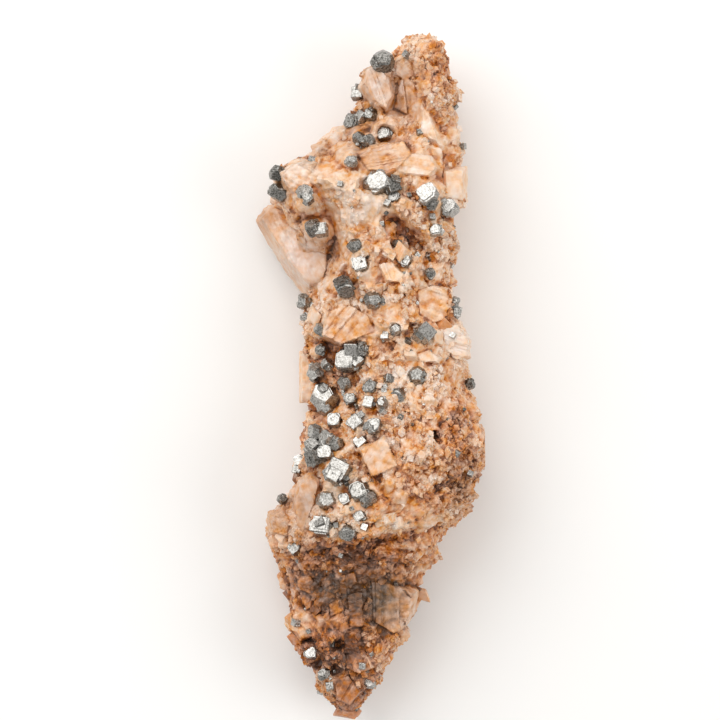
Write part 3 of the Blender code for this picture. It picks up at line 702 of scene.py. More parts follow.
    def plain(self) -> tuple[np.ndarray, np.ndarray, np.ndarray]:
        """Rings round the length, before any facet.

        Each ring is a boxy oval between the two edges, the crest and the back. The first and last rings shrink
        to nothing over a low dome, as a quarter circle does.

        Returns:
            Points, the middles that their rings are pushed away from, and how wide the body is at each, from 0.15
            where it is narrow to 1. All are grids of rings by columns.
        """
        rings = self.bands * (self.rows - 1) + 1 - 2 * self.end_rows
        turn = np.linspace(0, math.pi / 2, self.end_rows, endpoint=False)
        ends = self.end_dome * np.cos(turn)
        y = np.concatenate([self.top_end + ends, np.linspace(self.top_end, self.bottom_end, rings),
                            self.bottom_end - ends[::-1]])[:, None]
        shrink = np.concatenate([np.sin(turn), np.ones(rings), np.sin(turn)[::-1]])[:, None]
        shrink = 0.01 + 0.99 * shrink
        front = np.linspace(0, math.pi, self.front_columns, endpoint=False)
        back = np.linspace(math.pi, 2 * math.pi, self.back_columns, endpoint=False)
        angle = np.concatenate([front, back])[None, :]
        left, right = along(self.left_edge, y), along(self.right_edge, y)
        rim, crest, low = (along(line, y) for line in (self.rim_line, self.crest_line, self.back_line))
        across = np.sign(np.cos(angle)) * np.abs(np.cos(angle)) ** self.boxiness
        up = np.abs(np.sin(angle)) ** self.boxiness
        is_front = np.sin(angle) > 0
        x = (left + right) / 2 + across * (right - left) / 2
        wide_y = np.broadcast_to(y, x.shape)
        z = rim + np.where(is_front, (crest - rim) * up, (low - rim) * up)
        z = z + np.where(is_front, self.relief(x, wide_y) * np.clip(up * 2, 0, 1), 0)
        middle = np.stack([(left + right) / 2 + 0 * x, wide_y, rim + 0 * x], -1)
        points = np.stack([x, wide_y, z], -1)
        points[..., ::2] = middle[..., ::2] + (points - middle)[..., ::2] * shrink[..., None]
        width = np.broadcast_to(np.clip((right - left) / 24, 0.15, 1) * shrink, x.shape)
        return points, middle, width

    def even_rings(self, points: np.ndarray) -> np.ndarray:
        """Spreads the columns of every ring evenly along it, closer over the face than over the back.

        The way round each ring is measured in steps averaged over the rings and columns beside, so that columns
        run on smoothly from ring to ring. Steps of the back count at a part of their length. The points are then
        moved to equal steps of that measure.

        Args:
            points: the grid of rings by columns.

        Returns:
            The same rings with their points moved.
        """
        rings, columns = points.shape[:2]
        closed = np.concatenate([points, points[:, :1]], 1)
        steps = np.linalg.norm(np.diff(closed, axis=1), axis=2)[..., None]
        steps = np.maximum(self.square_mean(steps, 18), 1e-4)[..., 0]
        steps[:, self.front_columns:] *= self.back_weight
        way = np.concatenate([np.zeros((rings, 1)), steps.cumsum(1)], 1)
        way = way / way[:, -1:] * (1 - 1e-9) + np.arange(rings)[:, None]
        asked = (np.arange(columns) / columns + np.arange(rings)[:, None]).reshape(-1)
        flat = [np.interp(asked, way.reshape(-1), closed[..., k].reshape(-1)) for k in range(3)]
        return np.stack(flat, -1).reshape(rings, columns, 3)

    def normals(self, points: np.ndarray, reach: int) -> np.ndarray:
        """Unit vectors out of the surface: the cross product of the ways to the points some steps off.

        Args:
            points: the grid of rings by columns.
            reach: number of steps to each side.

        Returns:
            The grid of unit vectors.
        """
        wide = np.pad(points, ((reach, reach), (0, 0), (0, 0)), "edge")
        down = wide[2 * reach:] - wide[:-2 * reach]
        round_ring = np.roll(points, -reach, 1) - np.roll(points, reach, 1)
        out = np.cross(round_ring, down)
        return out / np.maximum(np.linalg.norm(out, axis=2, keepdims=True), 1e-9)

    @staticmethod
    def square_mean(grid: np.ndarray, reach: int) -> np.ndarray:
        """Mean of a grid over the square around each point: a difference of running sums.

        Args:
            grid: vectors on rings by columns.
            reach: half the square's side in grid steps.

        Returns:
            The grid of means.
        """
        side = 2 * reach + 1
        wide = np.pad(np.pad(grid, ((reach + 1, reach), (0, 0), (0, 0)), "edge"),
                      ((0, 0), (reach + 1, reach), (0, 0)), "wrap")
        sums = wide.cumsum(0).cumsum(1)
        return (sums[side:, side:] - sums[:-side, side:] - sums[side:, :-side] + sums[:-side, :-side]) / side**2

    def hollow(self, points: np.ndarray, outward: np.ndarray, reach: int) -> np.ndarray:
        """How far each point lies below the square of surface around it, in millimetres.

        Args:
            points: places on the grid.
            outward: directions away from the rock.
            reach: half the square's side in grid steps.

        Returns:
            Above 0 in pits, below 0 on tips.
        """
        return ((self.square_mean(points, reach) - points) * outward).sum(2)

    def surface(self, ceilings: list[Ceiling], supports: list[Ceiling], embedded: list["Block"]) -> Crust:
        """The whole surface: rings pushed out and in by rhombs of five sizes, with large crystals grown into it.

        The two large sizes give the rock's own crystals. Where other crystals sit, the rock is then pressed down
        or raised to them, and it rises to the faces of the crystals that have grown into it. The small sizes crust
        it, more where there is sugar, and it is flat where it would pass the floor.

        Args:
            ceilings: for places seen from above, the greatest height of the rock under each seated crystal.
            supports: the least height of the rock under each pyrite crystal.
            embedded: the large crystals whose faces are part of the surface.

        Returns:
            The surface with its paint.
        """
        points, middle, width = self.plain()
        outward = points - middle
        outward[..., 1] = 0
        outward /= np.maximum(np.linalg.norm(outward, axis=2, keepdims=True), 1e-9)
        for size, share in self.coarse:
            push = (np.clip(facets(points, size, 1).depth, *self.facet_reach) - self.facet_level) * share * size
            points = points + outward * (push * width)[..., None]
        facing = outward[..., 2] > 0
        for ceiling in ceilings:
            points[facing, 2] = np.minimum(points[facing, 2], ceiling(points[facing, 0], points[facing, 1]))
        for support in supports:
            points[facing, 2] = np.maximum(points[facing, 2], support(points[facing, 0], points[facing, 1]))
        for block in embedded:
            points[facing, 2] = np.maximum(points[facing, 2], block.top(self, points[facing, 0], points[facing, 1]))
        points = self.even_rings(points)
        outward = self.normals(self.square_mean(points, 3), 5)
        rhombs = facets(points, self.coarse[-1][0], 1)
        lie = np.einsum("rcij,rcj->rci", rhombs.axes, points) * GRAIN_STRETCH + rhombs.tint[..., None] * 100
        strata = np.clip(STRATA.at(points), 0, 1)
        layer = (points[..., 1] + self.layer_slope * points[..., 0] + self.layer_bend * rhombs.depth) / self.layer_width
        number = np.floor(layer)
        chosen = lattice_number(np.stack([number, number * 0, number * 0], -1), 22)
        ridge = np.sqrt(1 - np.abs(2 * (layer - number) - 1))
        points = points + outward * (strata * ridge * chosen * self.layer_rise)[..., None]
        grown = facets(points, self.patch, 1)
        sugar = np.clip(SUGAR.at(points) + (grown.tint - 0.5) * self.patch_sugar, 0.05, 1)
        stain = STAIN_AND_SHADE.at(points) + (rhombs.tint - 0.5) * self.patch_stain
        for block in embedded:
            inside = np.abs(points[..., 2] - block.top(self, points[..., 0], points[..., 1])) < 0.3
            inside &= outward[..., 2] > 0
            sugar[inside] = 0.02
            stain[inside] += block.stain + block.tone(points[inside])
            lie[inside] = block.lie(points[inside])
        stain += np.where(sugar > 0.03, strata * (chosen - 0.6) * self.layer_stain, 0)
        speckle, seams = np.zeros(sugar.shape), np.zeros(sugar.shape)
        sideways = self.side_share + (1 - self.side_share) * np.clip(np.abs(outward[..., 2]) * 1.6, 0, 1)
        for size, share, smooth_share, colour in self.fine:
            rhombs = facets(points, size, 3)
            share = (smooth_share + (share - smooth_share) * sugar) * sideways
            push = (np.clip(rhombs.depth, *self.facet_reach) - self.facet_level) * share * size
            points = points + outward * (push * width)[..., None]
            speckle += (rhombs.tint - 0.5) * colour * (0.3 + 0.7 * sugar)
            seams = np.maximum(seams, rhombs.seam * share)
        points[..., 2] = np.maximum(points[..., 2], 0)
        # Pits are painted browner and darker and tips a little paler: partly iron stain that gathers in the pits,
        # partly painted shade where less light reaches.
        hollow = self.hollow(points, outward, 5) * 0.5 + self.hollow(points, outward, 14) * 0.3
        stain += speckle * (0.6 + 1.4 * np.clip(stain - 0.3, 0, 1)) + np.clip(hollow, -0.08, 0.6) * 0.65 + seams * 0.06
        stain = np.minimum(stain, self.brownest)
        return Crust(points.reshape(-1, 3), outward.reshape(-1, 3), lie.reshape(-1, 3), stain.reshape(-1),
                     sugar.reshape(-1))

    def build(self, crust: Crust, material: bpy.types.Material) -> None:
        """Makes the bands of the matrix that stand for the CAD matrix. Neighbouring bands share a ring of points.

        Args:
            crust: the surface.
            material: the dolomite finish.
        """
        columns = self.front_columns + self.back_columns
        row, column = np.meshgrid(np.arange(self.rows - 1), np.arange(columns), indexing="ij")
        after = (column + 1) % columns
        quads = np.stack([row * columns + column, row * columns + after, (row + 1) * columns + after,
                          (row + 1) * columns + column], -1).reshape(-1, 4)
        ring = np.arange(columns)
        faces = [quads, ring[::-1], (self.rows - 1) * columns + ring]
        for band in range(self.bands):
            start = band * (self.rows - 1) * columns
            part = slice(start, start + self.rows * columns)
            pile = Pile()
            pile.add(crust.points[part], faces, crust.lie[part], stain=crust.stain[part], sugar=crust.sugar[part],
                     smoke=SMOKE.at(crust.points[part]))
            obj = pile.to_object(f"matrix_band_{band + 1}", material)
            obj.data.shade_smooth()
            obj.data.set_sharp_from_angle(angle=math.radians(self.crease))
            if band == 0:
                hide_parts("dolomite_matrix")


@dataclass(frozen=True)
class Block:
    """A large dolomite crystal, cleaved into plates that stand a little out of step.

    Most have grown into the rock, so that their faces are part of its surface. The others stand free of its edge.

    Attributes:
        outline: corners seen from above, counter-clockwise.
        rise: height of its middle over the face.
        slope: slope of its top along X and Y.
        depth: from top to underside.
        draught: lean of its sides in degrees.
        plates: number of plates.
        stack: direction that the plates are stacked in, seen from above, in degrees.
        stagger: how far plates stand out of step, in millimetres.
        stain: added to the stain and painted shade of its place.
        cuts: bevels, each by a point of the top in x and y, the way it faces and its tilt, in degrees.
        free: rows and columns of the mesh of a crystal that stands free.
        recess: how far the rock stays below its top.
        moat: slope of the rock up and away from it.
        softness: how sharp a free crystal's edges are; higher is sharper.
        crust: size and share of the small facets on a free crystal's faces.
        clean: how much less sugar a free crystal has than the rock at its place.
    """

    outline: tuple[tuple[float, float], ...]
    rise: float
    slope: tuple[float, float]
    depth: float
    draught: float
    plates: int = 3
    stack: float = 90.0
    stagger: float = 0.5
    stain: float = 0.0
    cuts: tuple[tuple[float, float, float, float], ...] = ()
    free: tuple[int, int] | None = None
    recess: float = 0.55
    moat: float = 1.6
    softness: float = 36.0
    crust: tuple[tuple[float, float], ...] = ((3.4, 0.3), (1.3, 0.3))
    clean: float = 0.35

    def planes(self, body: Body) -> tuple[np.ndarray, np.ndarray, np.ndarray]:
        """The planes of the whole crystal.

        Args:
            body: the matrix that it stands on.

        Returns:
            Normals, reaches, and the middle of its top. The sides come first, then the cuts, the top and the
            underside.
        """
        outline = np.array(self.outline, float)
        edges = np.roll(outline, -1, axis=0) - outline
        sides = np.stack([edges[:, 1], -edges[:, 0]], 1)
        sides /= np.linalg.norm(sides, axis=1, keepdims=True)
        lean = math.radians(self.draught)
        middle = outline.mean(0)
        top = float(body.height(middle[:1], middle[1:])[0]) + self.rise
        waist = np.column_stack([outline, np.full(len(outline), top - self.depth / 2)])
        normals = np.column_stack([sides * math.cos(lean), np.full(len(sides), math.sin(lean))])
        reaches = (normals * waist).sum(1)
        up = np.array([-self.slope[0], -self.slope[1], 1.0])
        up /= np.linalg.norm(up)
        crown = np.array([*middle, top])
        for x, y, facing, tilt in self.cuts:
            facing, tilt = math.radians(facing), math.radians(tilt)
            normal = (math.sin(tilt) * math.cos(facing), math.sin(tilt) * math.sin(facing), math.cos(tilt))
            height = top + self.slope[0] * (x - middle[0]) + self.slope[1] * (y - middle[1])
            normals = np.vstack([normals, normal])
            reaches = np.append(reaches, np.dot(normal, (x, y, height)))
        normals = np.vstack([normals, up, [0, 0, -1]])
        return normals, np.append(reaches, [up @ crown, -max(top - self.depth, 0.8)]), crown

    def ceiling(self, body: Body) -> Ceiling:
        """Greatest height of the rock at and round the crystal: a little below its top, and rising away from it.

        Args:
            body: the matrix that the crystal stands on.

        Returns:
            A function of x and y.
        """
        normals, reaches, crown = self.planes(body)
        sides, up = normals[:len(self.outline)], normals[-2]

        def height(x: np.ndarray, y: np.ndarray) -> np.ndarray:
            """The greatest height at each place."""
            top = crown[2] - ((x - crown[0]) * up[0] + (y - crown[1]) * up[1]) / up[2]
            outside = sides[:, :2] @ np.stack([x, y]) + sides[:, 2:] * (top - 1) - reaches[:len(sides), None]
            return top - self.recess + self.moat * np.clip(outside.max(0), 0, None)

        return height

    def across(self, points: np.ndarray) -> np.ndarray:
        """How far along the stack of plates each place is, counted in plates."""
        turn = math.radians(self.stack)
        way = np.array([math.cos(turn), math.sin(turn)])
        return points[..., :2] @ way * self.plates / np.ptp(np.array(self.outline) @ way)

    def step(self, points: np.ndarray) -> np.ndarray:
        """How far the faces lie back at each place, in millimetres: wide plates, each cleaved into five narrow ones."""
        back = np.zeros(points.shape[:-1])
        for narrower, share in ((1, 1.0), (5, 0.4)):
            number = np.floor(self.across(points) * narrower)
            cell = np.stack([number, number * 0 + narrower, number * 0 + self.plates], -1)
            back += lattice_number(cell, 20) ** 2 * share * self.stagger
        return back

    def tone(self, points: np.ndarray) -> np.ndarray:
        """Change of stain from plate to plate."""
        number = np.floor(self.across(points))
        return 0.18 * (lattice_number(np.stack([number, number * 0, number * 0 + self.plates], -1), 21) - 0.6)

    def lie(self, points: np.ndarray) -> np.ndarray:
        """The points in the crystal's own directions: along its plates, across them, and out of both."""
        turn = math.radians(self.stack)
        across = np.array([math.cos(turn), math.sin(turn), 0.0])
        along_plates = np.array([-across[1], across[0], 0.0])
        axes = np.stack([along_plates, across, (0.0, 0.0, 1.0)], 1)
        return points @ axes * GRAIN_STRETCH + self.outline[0][0]

    def top(self, body: Body, x: np.ndarray, y: np.ndarray) -> np.ndarray:
        """Height of its faces seen from above: the lowest of its planes there, less the step of the plate.

        Args:
            body: the matrix that the crystal stands on.
            x: places across.
            y: places along.

        Returns:
            Heights in millimetres, that fall away steeply outside the crystal.
        """
        normals, reaches, _ = self.planes(body)
        lowest = np.full(x.shape, np.inf)
        for normal, reach in zip(normals[:-1], reaches[:-1]):
            lowest = np.minimum(lowest, (reach - normal[0] * x - normal[1] * y) / normal[2])
        return lowest - self.step(np.stack([x, y], -1))

    def build(self, name: str, body: Body, material: bpy.types.Material) -> bpy.types.Object:
        """Makes a free crystal as a closed grid of rings about its plates' direction, with soft edges.

        In each direction d from its middle, a plane with normal n and reach r is met at r / (n . d). The softened
        nearest of these is the sum of (n . d / r) to a high power, to the power of minus one over it. Small facets
        and the plates' steps are then taken off.

        Args:
            name: the piece's name.
            body: the matrix that it stands on.
            material: its finish.

        Returns:
            The piece.
        """
        normals, reaches, crown = self.planes(body)
        middle = solid_faces(normals, reaches - normals @ crown)[0].mean(0) + crown
        reaches = reaches - normals @ middle
        rows, columns = self.free
        polar = np.linspace(0.03, math.pi - 0.03, rows)[:, None]
        round_ring = np.linspace(0, 2 * math.pi, columns, endpoint=False)[None]
        turn = math.radians(self.stack)
        across = np.array([math.cos(turn), math.sin(turn), 0.0])
        pole = np.array([-across[1], across[0], 0.0])
        rays = (np.cos(polar) * np.ones_like(round_ring))[..., None] * pole
        rays = rays + (np.sin(polar) * np.cos(round_ring))[..., None] * across
        rays[..., 2] += np.sin(polar) * np.sin(round_ring)
        met = np.maximum(rays @ normals.T, 0) / reaches
        reach = (met ** self.softness).sum(-1) ** (-1 / self.softness)
        points = middle + rays * reach[..., None]
        back = self.step(points)
        for size, share in self.crust:
            back -= (facets(points, size, 3).depth - body.facet_level) * share * size
        points = points - rays * back[..., None]
        points[..., 2] = np.maximum(points[..., 2], 0.5)
        row, column = np.meshgrid(np.arange(rows - 1), np.arange(columns), indexing="ij")
        after = (column + 1) % columns
        quads = np.stack([row * columns + column, row * columns + after, (row + 1) * columns + after,
                          (row + 1) * columns + column], -1).reshape(-1, 4)
        ring = np.arange(columns)
        flat = points.reshape(-1, 3)
        pile = Pile()
        pile.add(flat, [quads, ring[::-1], (rows - 1) * columns + ring], self.lie(flat),
                 stain=STAIN_AND_SHADE.at(flat) + self.stain + self.tone(flat), smoke=SMOKE.at(flat),
                 sugar=np.clip(SUGAR.at(flat) - self.clean, 0, 1))
        obj = pile.to_object(name, material)
        obj.data.shade_smooth()
        obj.data.set_sharp_from_angle(angle=math.radians(body.crease))
        return obj


BLOCKS = {
    "big_left": Block(((-26.4, 35.3), (-24.4, 31), (-19.6, 24.8), (-16.8, 20.0), (-15.3, 19.0), (-10.2, 20),
                       (-8.6, 27.6), (-11.6, 34.5), (-17, 38.0), (-23.5, 38.8)), 5.0, (0.2, -0.12), 14, 10,
                      plates=5, stack=30, stagger=0.3, stain=0.02, free=(80, 140), recess=1.4,
                      cuts=((-18, 31.6, 97, 36), (-22.6, 28, 205, 42), (-13.5, 21.8, 262, 38))),
    "grain_ledge": Block(((-4.6, 50.4), (-1.6, 45.4), (5, 44.8), (9.2, 49.7), (7.1, 52.9), (0, 52)),
                         1.7, (0.02, -0.22), 9, 8, plates=5, stack=100, stagger=0.8, stain=0.1),
    "cream_slab": Block(((15.0, 47), (15.4, 39.2), (20.8, 38.8), (21.0, 47.4)), 3.2, (-0.3, 0.05), 12, 8,
                        plates=3, stack=90, stagger=0.4, free=(44, 72)),
    "spire_left": Block(((-3.0, 65.7), (-0.8, 61.5), (3.4, 58.6), (5.6, 62.9), (4.8, 67.5), (1.1, 71.8),
                         (-2.0, 69.8)), 0.8, (0.35, 0.1), 12, 12, plates=4, stack=20, stagger=0.9, stain=0.04),
    "spire_slab": Block(((9.1, 61.1), (9.3, 53.8), (11.9, 51.5), (15.3, 49.7), (16.9, 51.5), (14.6, 58.8),
                         (11.2, 63.4)), 0.9, (0.2, 0.0), 9, 24, plates=3, stack=25, stagger=0.4, stain=-0.06),
    "spire_pocket": Block(((4.2, 60.5), (8.6, 57.8), (11, 60), (10.6, 66), (8.2, 69), (5.2, 67.5)),
                          1.0, (0.45, 0.2), 9, 14, plates=4, stack=8, stagger=1.0, stain=0.06),
    "ledge_block": Block(((3.0, 47.0), (5.5, 44.2), (13.0, 43.6), (15.2, 46.5), (13.5, 50.0), (8.5, 50.8)),
                         1.3, (-0.05, -0.1), 9, 14, plates=3, stack=80, stagger=0.6, stain=-0.02),
    "spire_middle": Block(((4.3, 68), (7.1, 66), (10, 67.5), (9.2, 71), (7.1, 72.8), (4.5, 71)),
                          0.6, (0.1, 0.2), 9, 10, plates=2, stack=40, stagger=0.6),
    "shelf_crystal": Block(((-11.8, 53.4), (-10.2, 50.8), (-6.4, 51), (-4.6, 53.8), (-5.9, 56.6), (-8.9, 56.2)),
                           1.6, (0.1, 0.05), 9, 14, plates=3, stack=45, stagger=0.6, stain=-0.08, free=(40, 72)),
    "shoulder_crystal": Block(((-21.8, 46), (-20.1, 42.2), (-16.4, 39), (-12.6, 42.2), (-12.2, 48.2),
                               (-16.4, 48.8)), 0.6, (0.12, 0.1), 9, 12, plates=4, stack=60, stagger=0.9),
    "striated_crystal": Block(((-11.9, 9.0), (-7.3, 6.4), (1.2, 9.6), (-0.6, 13.8), (-5.6, 16.8), (-11, 14.4)),
                              1.4, (0.1, -0.12), 8, 9, plates=6, stack=-40, stagger=0.6, stain=0.07),
    "edge_slab": Block(((-16.8, -6.4), (-13.3, -6.2), (-13.3, 6.4), (-16.8, 5.6)), 2.4, (0.1, 0), 10, 5,
                       plates=3, stack=0, stagger=0.4, free=(44, 80)),
    "small_rhomb": Block(((-15.4, 12.3), (-12.5, 10.2), (-10.8, 13.7), (-13.7, 16.2)), 1.8, (0.3, 0.1), 7, 8,
                         plates=2, stack=30, stagger=0.4, free=(32, 56)),
    "orange_crystal": Block(((9.8, 13.6), (13.5, 11.4), (18.4, 13), (18.3, 19.6), (13, 21), (9.1, 19.6)),
                            1.6, (-0.12, 0.1), 8, 10, plates=3, stack=70, stagger=0.7, stain=0.05),
    "middle_crystal": Block(((0.7, 25.1), (2.5, 20.8), (6.8, 20.1), (7.4, 23), (4.3, 26.2)),
                            0.9, (0.1, -0.2), 7, 10, plates=2, stack=20, stagger=0.5),
    "pink_plates": Block(((14.4, 11.4), (15.3, 5.3), (18.7, 2.5), (22.0, 4.4), (21.9, 8.2), (19.4, 12.5)),
                         1.8, (-0.28, 0.1), 8, 10, plates=5, stack=75, stagger=0.8, free=(52, 80)),
    "fan_crystal": Block(((9.1, 5.2), (10, 3), (14.8, 2.5), (15.5, 4.3), (12.5, 6.4)), 0.8, (0, -0.25), 6, 10,
                         plates=5, stack=10, stagger=0.5),
    "peach_rhomb": Block(((-3.6, -16), (-0.7, -22.5), (6.1, -19.9), (2.7, -12.6)), 1.6, (0.05, -0.08), 9, 6,
                         plates=3, stack=-25, stagger=0.6, stain=0.12),
    "tall_crystal": Block(((-17.8, -28.3), (-17.8, -34), (-15.3, -35.4), (-12.8, -29.4), (-11.4, -23.3),
                           (-13.5, -21.2), (-16.6, -23.5)), 1.8, (0.3, 0.05), 9, 8, plates=4, stack=15,
                          stagger=0.4, stain=0.17, free=(52, 76)),
    "grey_block": Block(((-1.6, -44.9), (-0.9, -55.8), (4.8, -59), (8.4, -56.1), (10.3, -48.8), (3.9, -45.9)),
                        0.8, (-0.1, 0.08), 9, 12, plates=4, stack=0, stagger=0.6),
    "band_left": Block(((-18.2, -44.6), (-17.6, -48.8), (-13.8, -50.6), (-11.8, -48.2), (-12.9, -43.4)), 0.7,
                       (0.12, 0.16), 8, 18, plates=3, stack=12, stagger=0.5, stain=-0.04),
    "band_middle": Block(((-9.4, -43.8), (-8.9, -47.4), (-5.0, -49.0), (-2.1, -46.8), (-3.4, -42.2)), 0.7,
                         (-0.04, 0.18), 8, 20, plates=3, stack=-8, stagger=0.5),
    "band_block": Block(((-6.2, -48.8), (-5.4, -56.8), (-1.9, -56.3), (-2.2, -48.2)), 0.7, (0.05, 0), 8, 5,
                        plates=3, stack=90, stagger=0.5),
    "band_chip": Block(((-10.4, -51), (-9.8, -54.5), (-6.2, -52.6), (-6.8, -49)), 0.6, (0.1, 0.15), 6, 8,
                       plates=2, stack=60, stagger=0.5),
    "foot_lump": Block(((-19.6, -54), (-18.9, -57.7), (-16.6, -60.6), (-11.4, -59.4), (-12.2, -53.2),
                        (-17.1, -50.4)), 0.8, (0.15, 0.1), 9, 16, plates=4, stack=50, stagger=0.9),
    "foot_block": Block(((-9.8, -68.2), (-8.6, -73.6), (-5.2, -75.2), (-2.2, -71.6), (-5.2, -66.8)),
                        0.8, (0.05, 0.1), 7, 12, plates=3, stack=-30, stagger=0.8),
    "foot_chip": Block(((-6.6, -62.3), (-6.6, -66.1), (-3.2, -67.7), (0.7, -65.9), (-1.8, -61.1)),
                       0.7, (-0.1, -0.1), 6, 12, plates=3, stack=20, stagger=0.7),
    "left_ledge": Block(((-23.7, -31), (-23.2, -35.8), (-18.7, -36.5), (-17.8, -31.7), (-20.3, -29.2)),
                        1.6, (0.2, 0.05), 8, 10, plates=3, stack=80, stagger=0.6, stain=0.16, clean=-0.2,
                        free=(40, 64)),
}


@dataclass(frozen=True)
class RhombCrust:
    """Small dolomite rhombs scattered over the matrix, in groups that lie nearly the same way.

    Attributes:
        name: the piece's name.
        count: number of rhombs.
        smallest: least width in millimetres.
        largest: greatest width.
        proud: share of a rhomb that stands out of the matrix.
        group: size of the groups that share a lie, in millimetres.
        looseness: how far a rhomb strays from its group's lie, in radians.
        chamfer: bevel of the edges as a share of the half width; 0 leaves them sharp.
        sugar_power: above 0, more rhombs grow where there is sugar, and below 0 fewer.
        tints: least and greatest change of colour from rhomb to rhomb.
        flank: how far round the sides rhombs grow; 0 keeps them to where the surface faces up, and below 0 to
            where it faces up by at least that much.
    """

    name: str
    count: int
    smallest: float
    largest: float
    proud: float
    group: float = 6.0
    looseness: float = 0.5
    chamfer: float = 0.0
    sugar_power: float = 1.0
    tints: tuple[float, float] = (-0.15, 0.12)
    flank: float = 0.35

    def template(self) -> tuple[np.ndarray, list[list[int]]]:
        """A rhomb of half width 1: six planes 43.8 degrees off its axis, and twelve more that cut its edges."""
        still = np.zeros(1)
        sides = [axis[0] for axis in turned_rhomb(still, still, still)]
        normals = np.array(sides + [-side for side in sides])
        reaches = np.ones(6)
        if self.chamfer:
            for a, b in itertools.combinations(range(6), 2):
                joint = normals[a] + normals[b]
                length = np.linalg.norm(joint)
                if length > 0.1:
                    normals = np.vstack([normals, joint / length])
                    reaches = np.append(reaches, 2 / length - self.chamfer)
        return solid_faces(normals, reaches)

    def build(self, crust: Crust, kept_clear: Ceiling, material: bpy.types.Material,
              rng: np.random.Generator) -> bpy.types.Object:
        """Scatters the rhombs.

        Args:
            crust: the surface that they grow on.
            kept_clear: the rock's greatest height; rhombs whose middle would stand over it are left out.
            material: the dolomite finish.
            rng: the source of the random draws.

        Returns:
            The piece, every rhomb joined in one mesh.
        """
        chance = np.clip(crust.outward[:, 2] + self.flank, 0.02, 1.0) * (crust.points[:, 2] > 3)
        chance *= crust.sugar ** self.sugar_power
        picked = rng.choice(len(crust.points), self.count, p=chance / chance.sum())
        size = self.smallest + (self.largest - self.smallest) * rng.uniform(0, 1, self.count) ** 2.2
        centres = crust.points[picked] + crust.outward[picked] * ((self.proud - 0.5) * size)[:, None]
        ground, outward = crust.points[picked], crust.outward[picked]
        clear = (ground[:, 2] + 0.35 * size < kept_clear(ground[:, 0], ground[:, 1])) | (outward[:, 2] < 0)
        cell = np.floor(ground / self.group)
        stray = rng.normal(0, self.looseness, (3, self.count))
        angles = [lattice_number(cell, 10 + k) * 2 * math.pi + stray[k] for k in range(3)]
        axes = np.stack(turned_rhomb(*angles), 1)
        still = np.zeros(1)
        rest = np.stack([axis[0] for axis in turned_rhomb(still, still, still)])
        turn = np.einsum("nki,kj->nij", axes, np.linalg.inv(rest).T)
        corners, faces = self.template()
        stretch = rng.uniform(0.75, 1.3, (self.count, 1, 3))
        solids = np.einsum("nij,npj->npi", turn, corners[None] * stretch) * (size / 2)[:, None, None]
        solids = solids + centres[:, None]
        kept = clear & (solids[..., 2] > 0.5).all(1) & (outward[:, 2] > -self.flank)
        stain = np.minimum(crust.stain[picked], 0.7) + rng.uniform(*self.tints, self.count)
        pile = Pile()
        lie = corners[None] * size[kept][:, None, None] * GRAIN_STRETCH + rng.uniform(0, 100, (kept.sum(), 1, 3))
        pile.add(solids[kept], faces, lie, stain=stain[kept], sugar=crust.sugar[picked][kept],
                 smoke=SMOKE.at(ground[kept]))
        return pile.to_object(self.name, material)


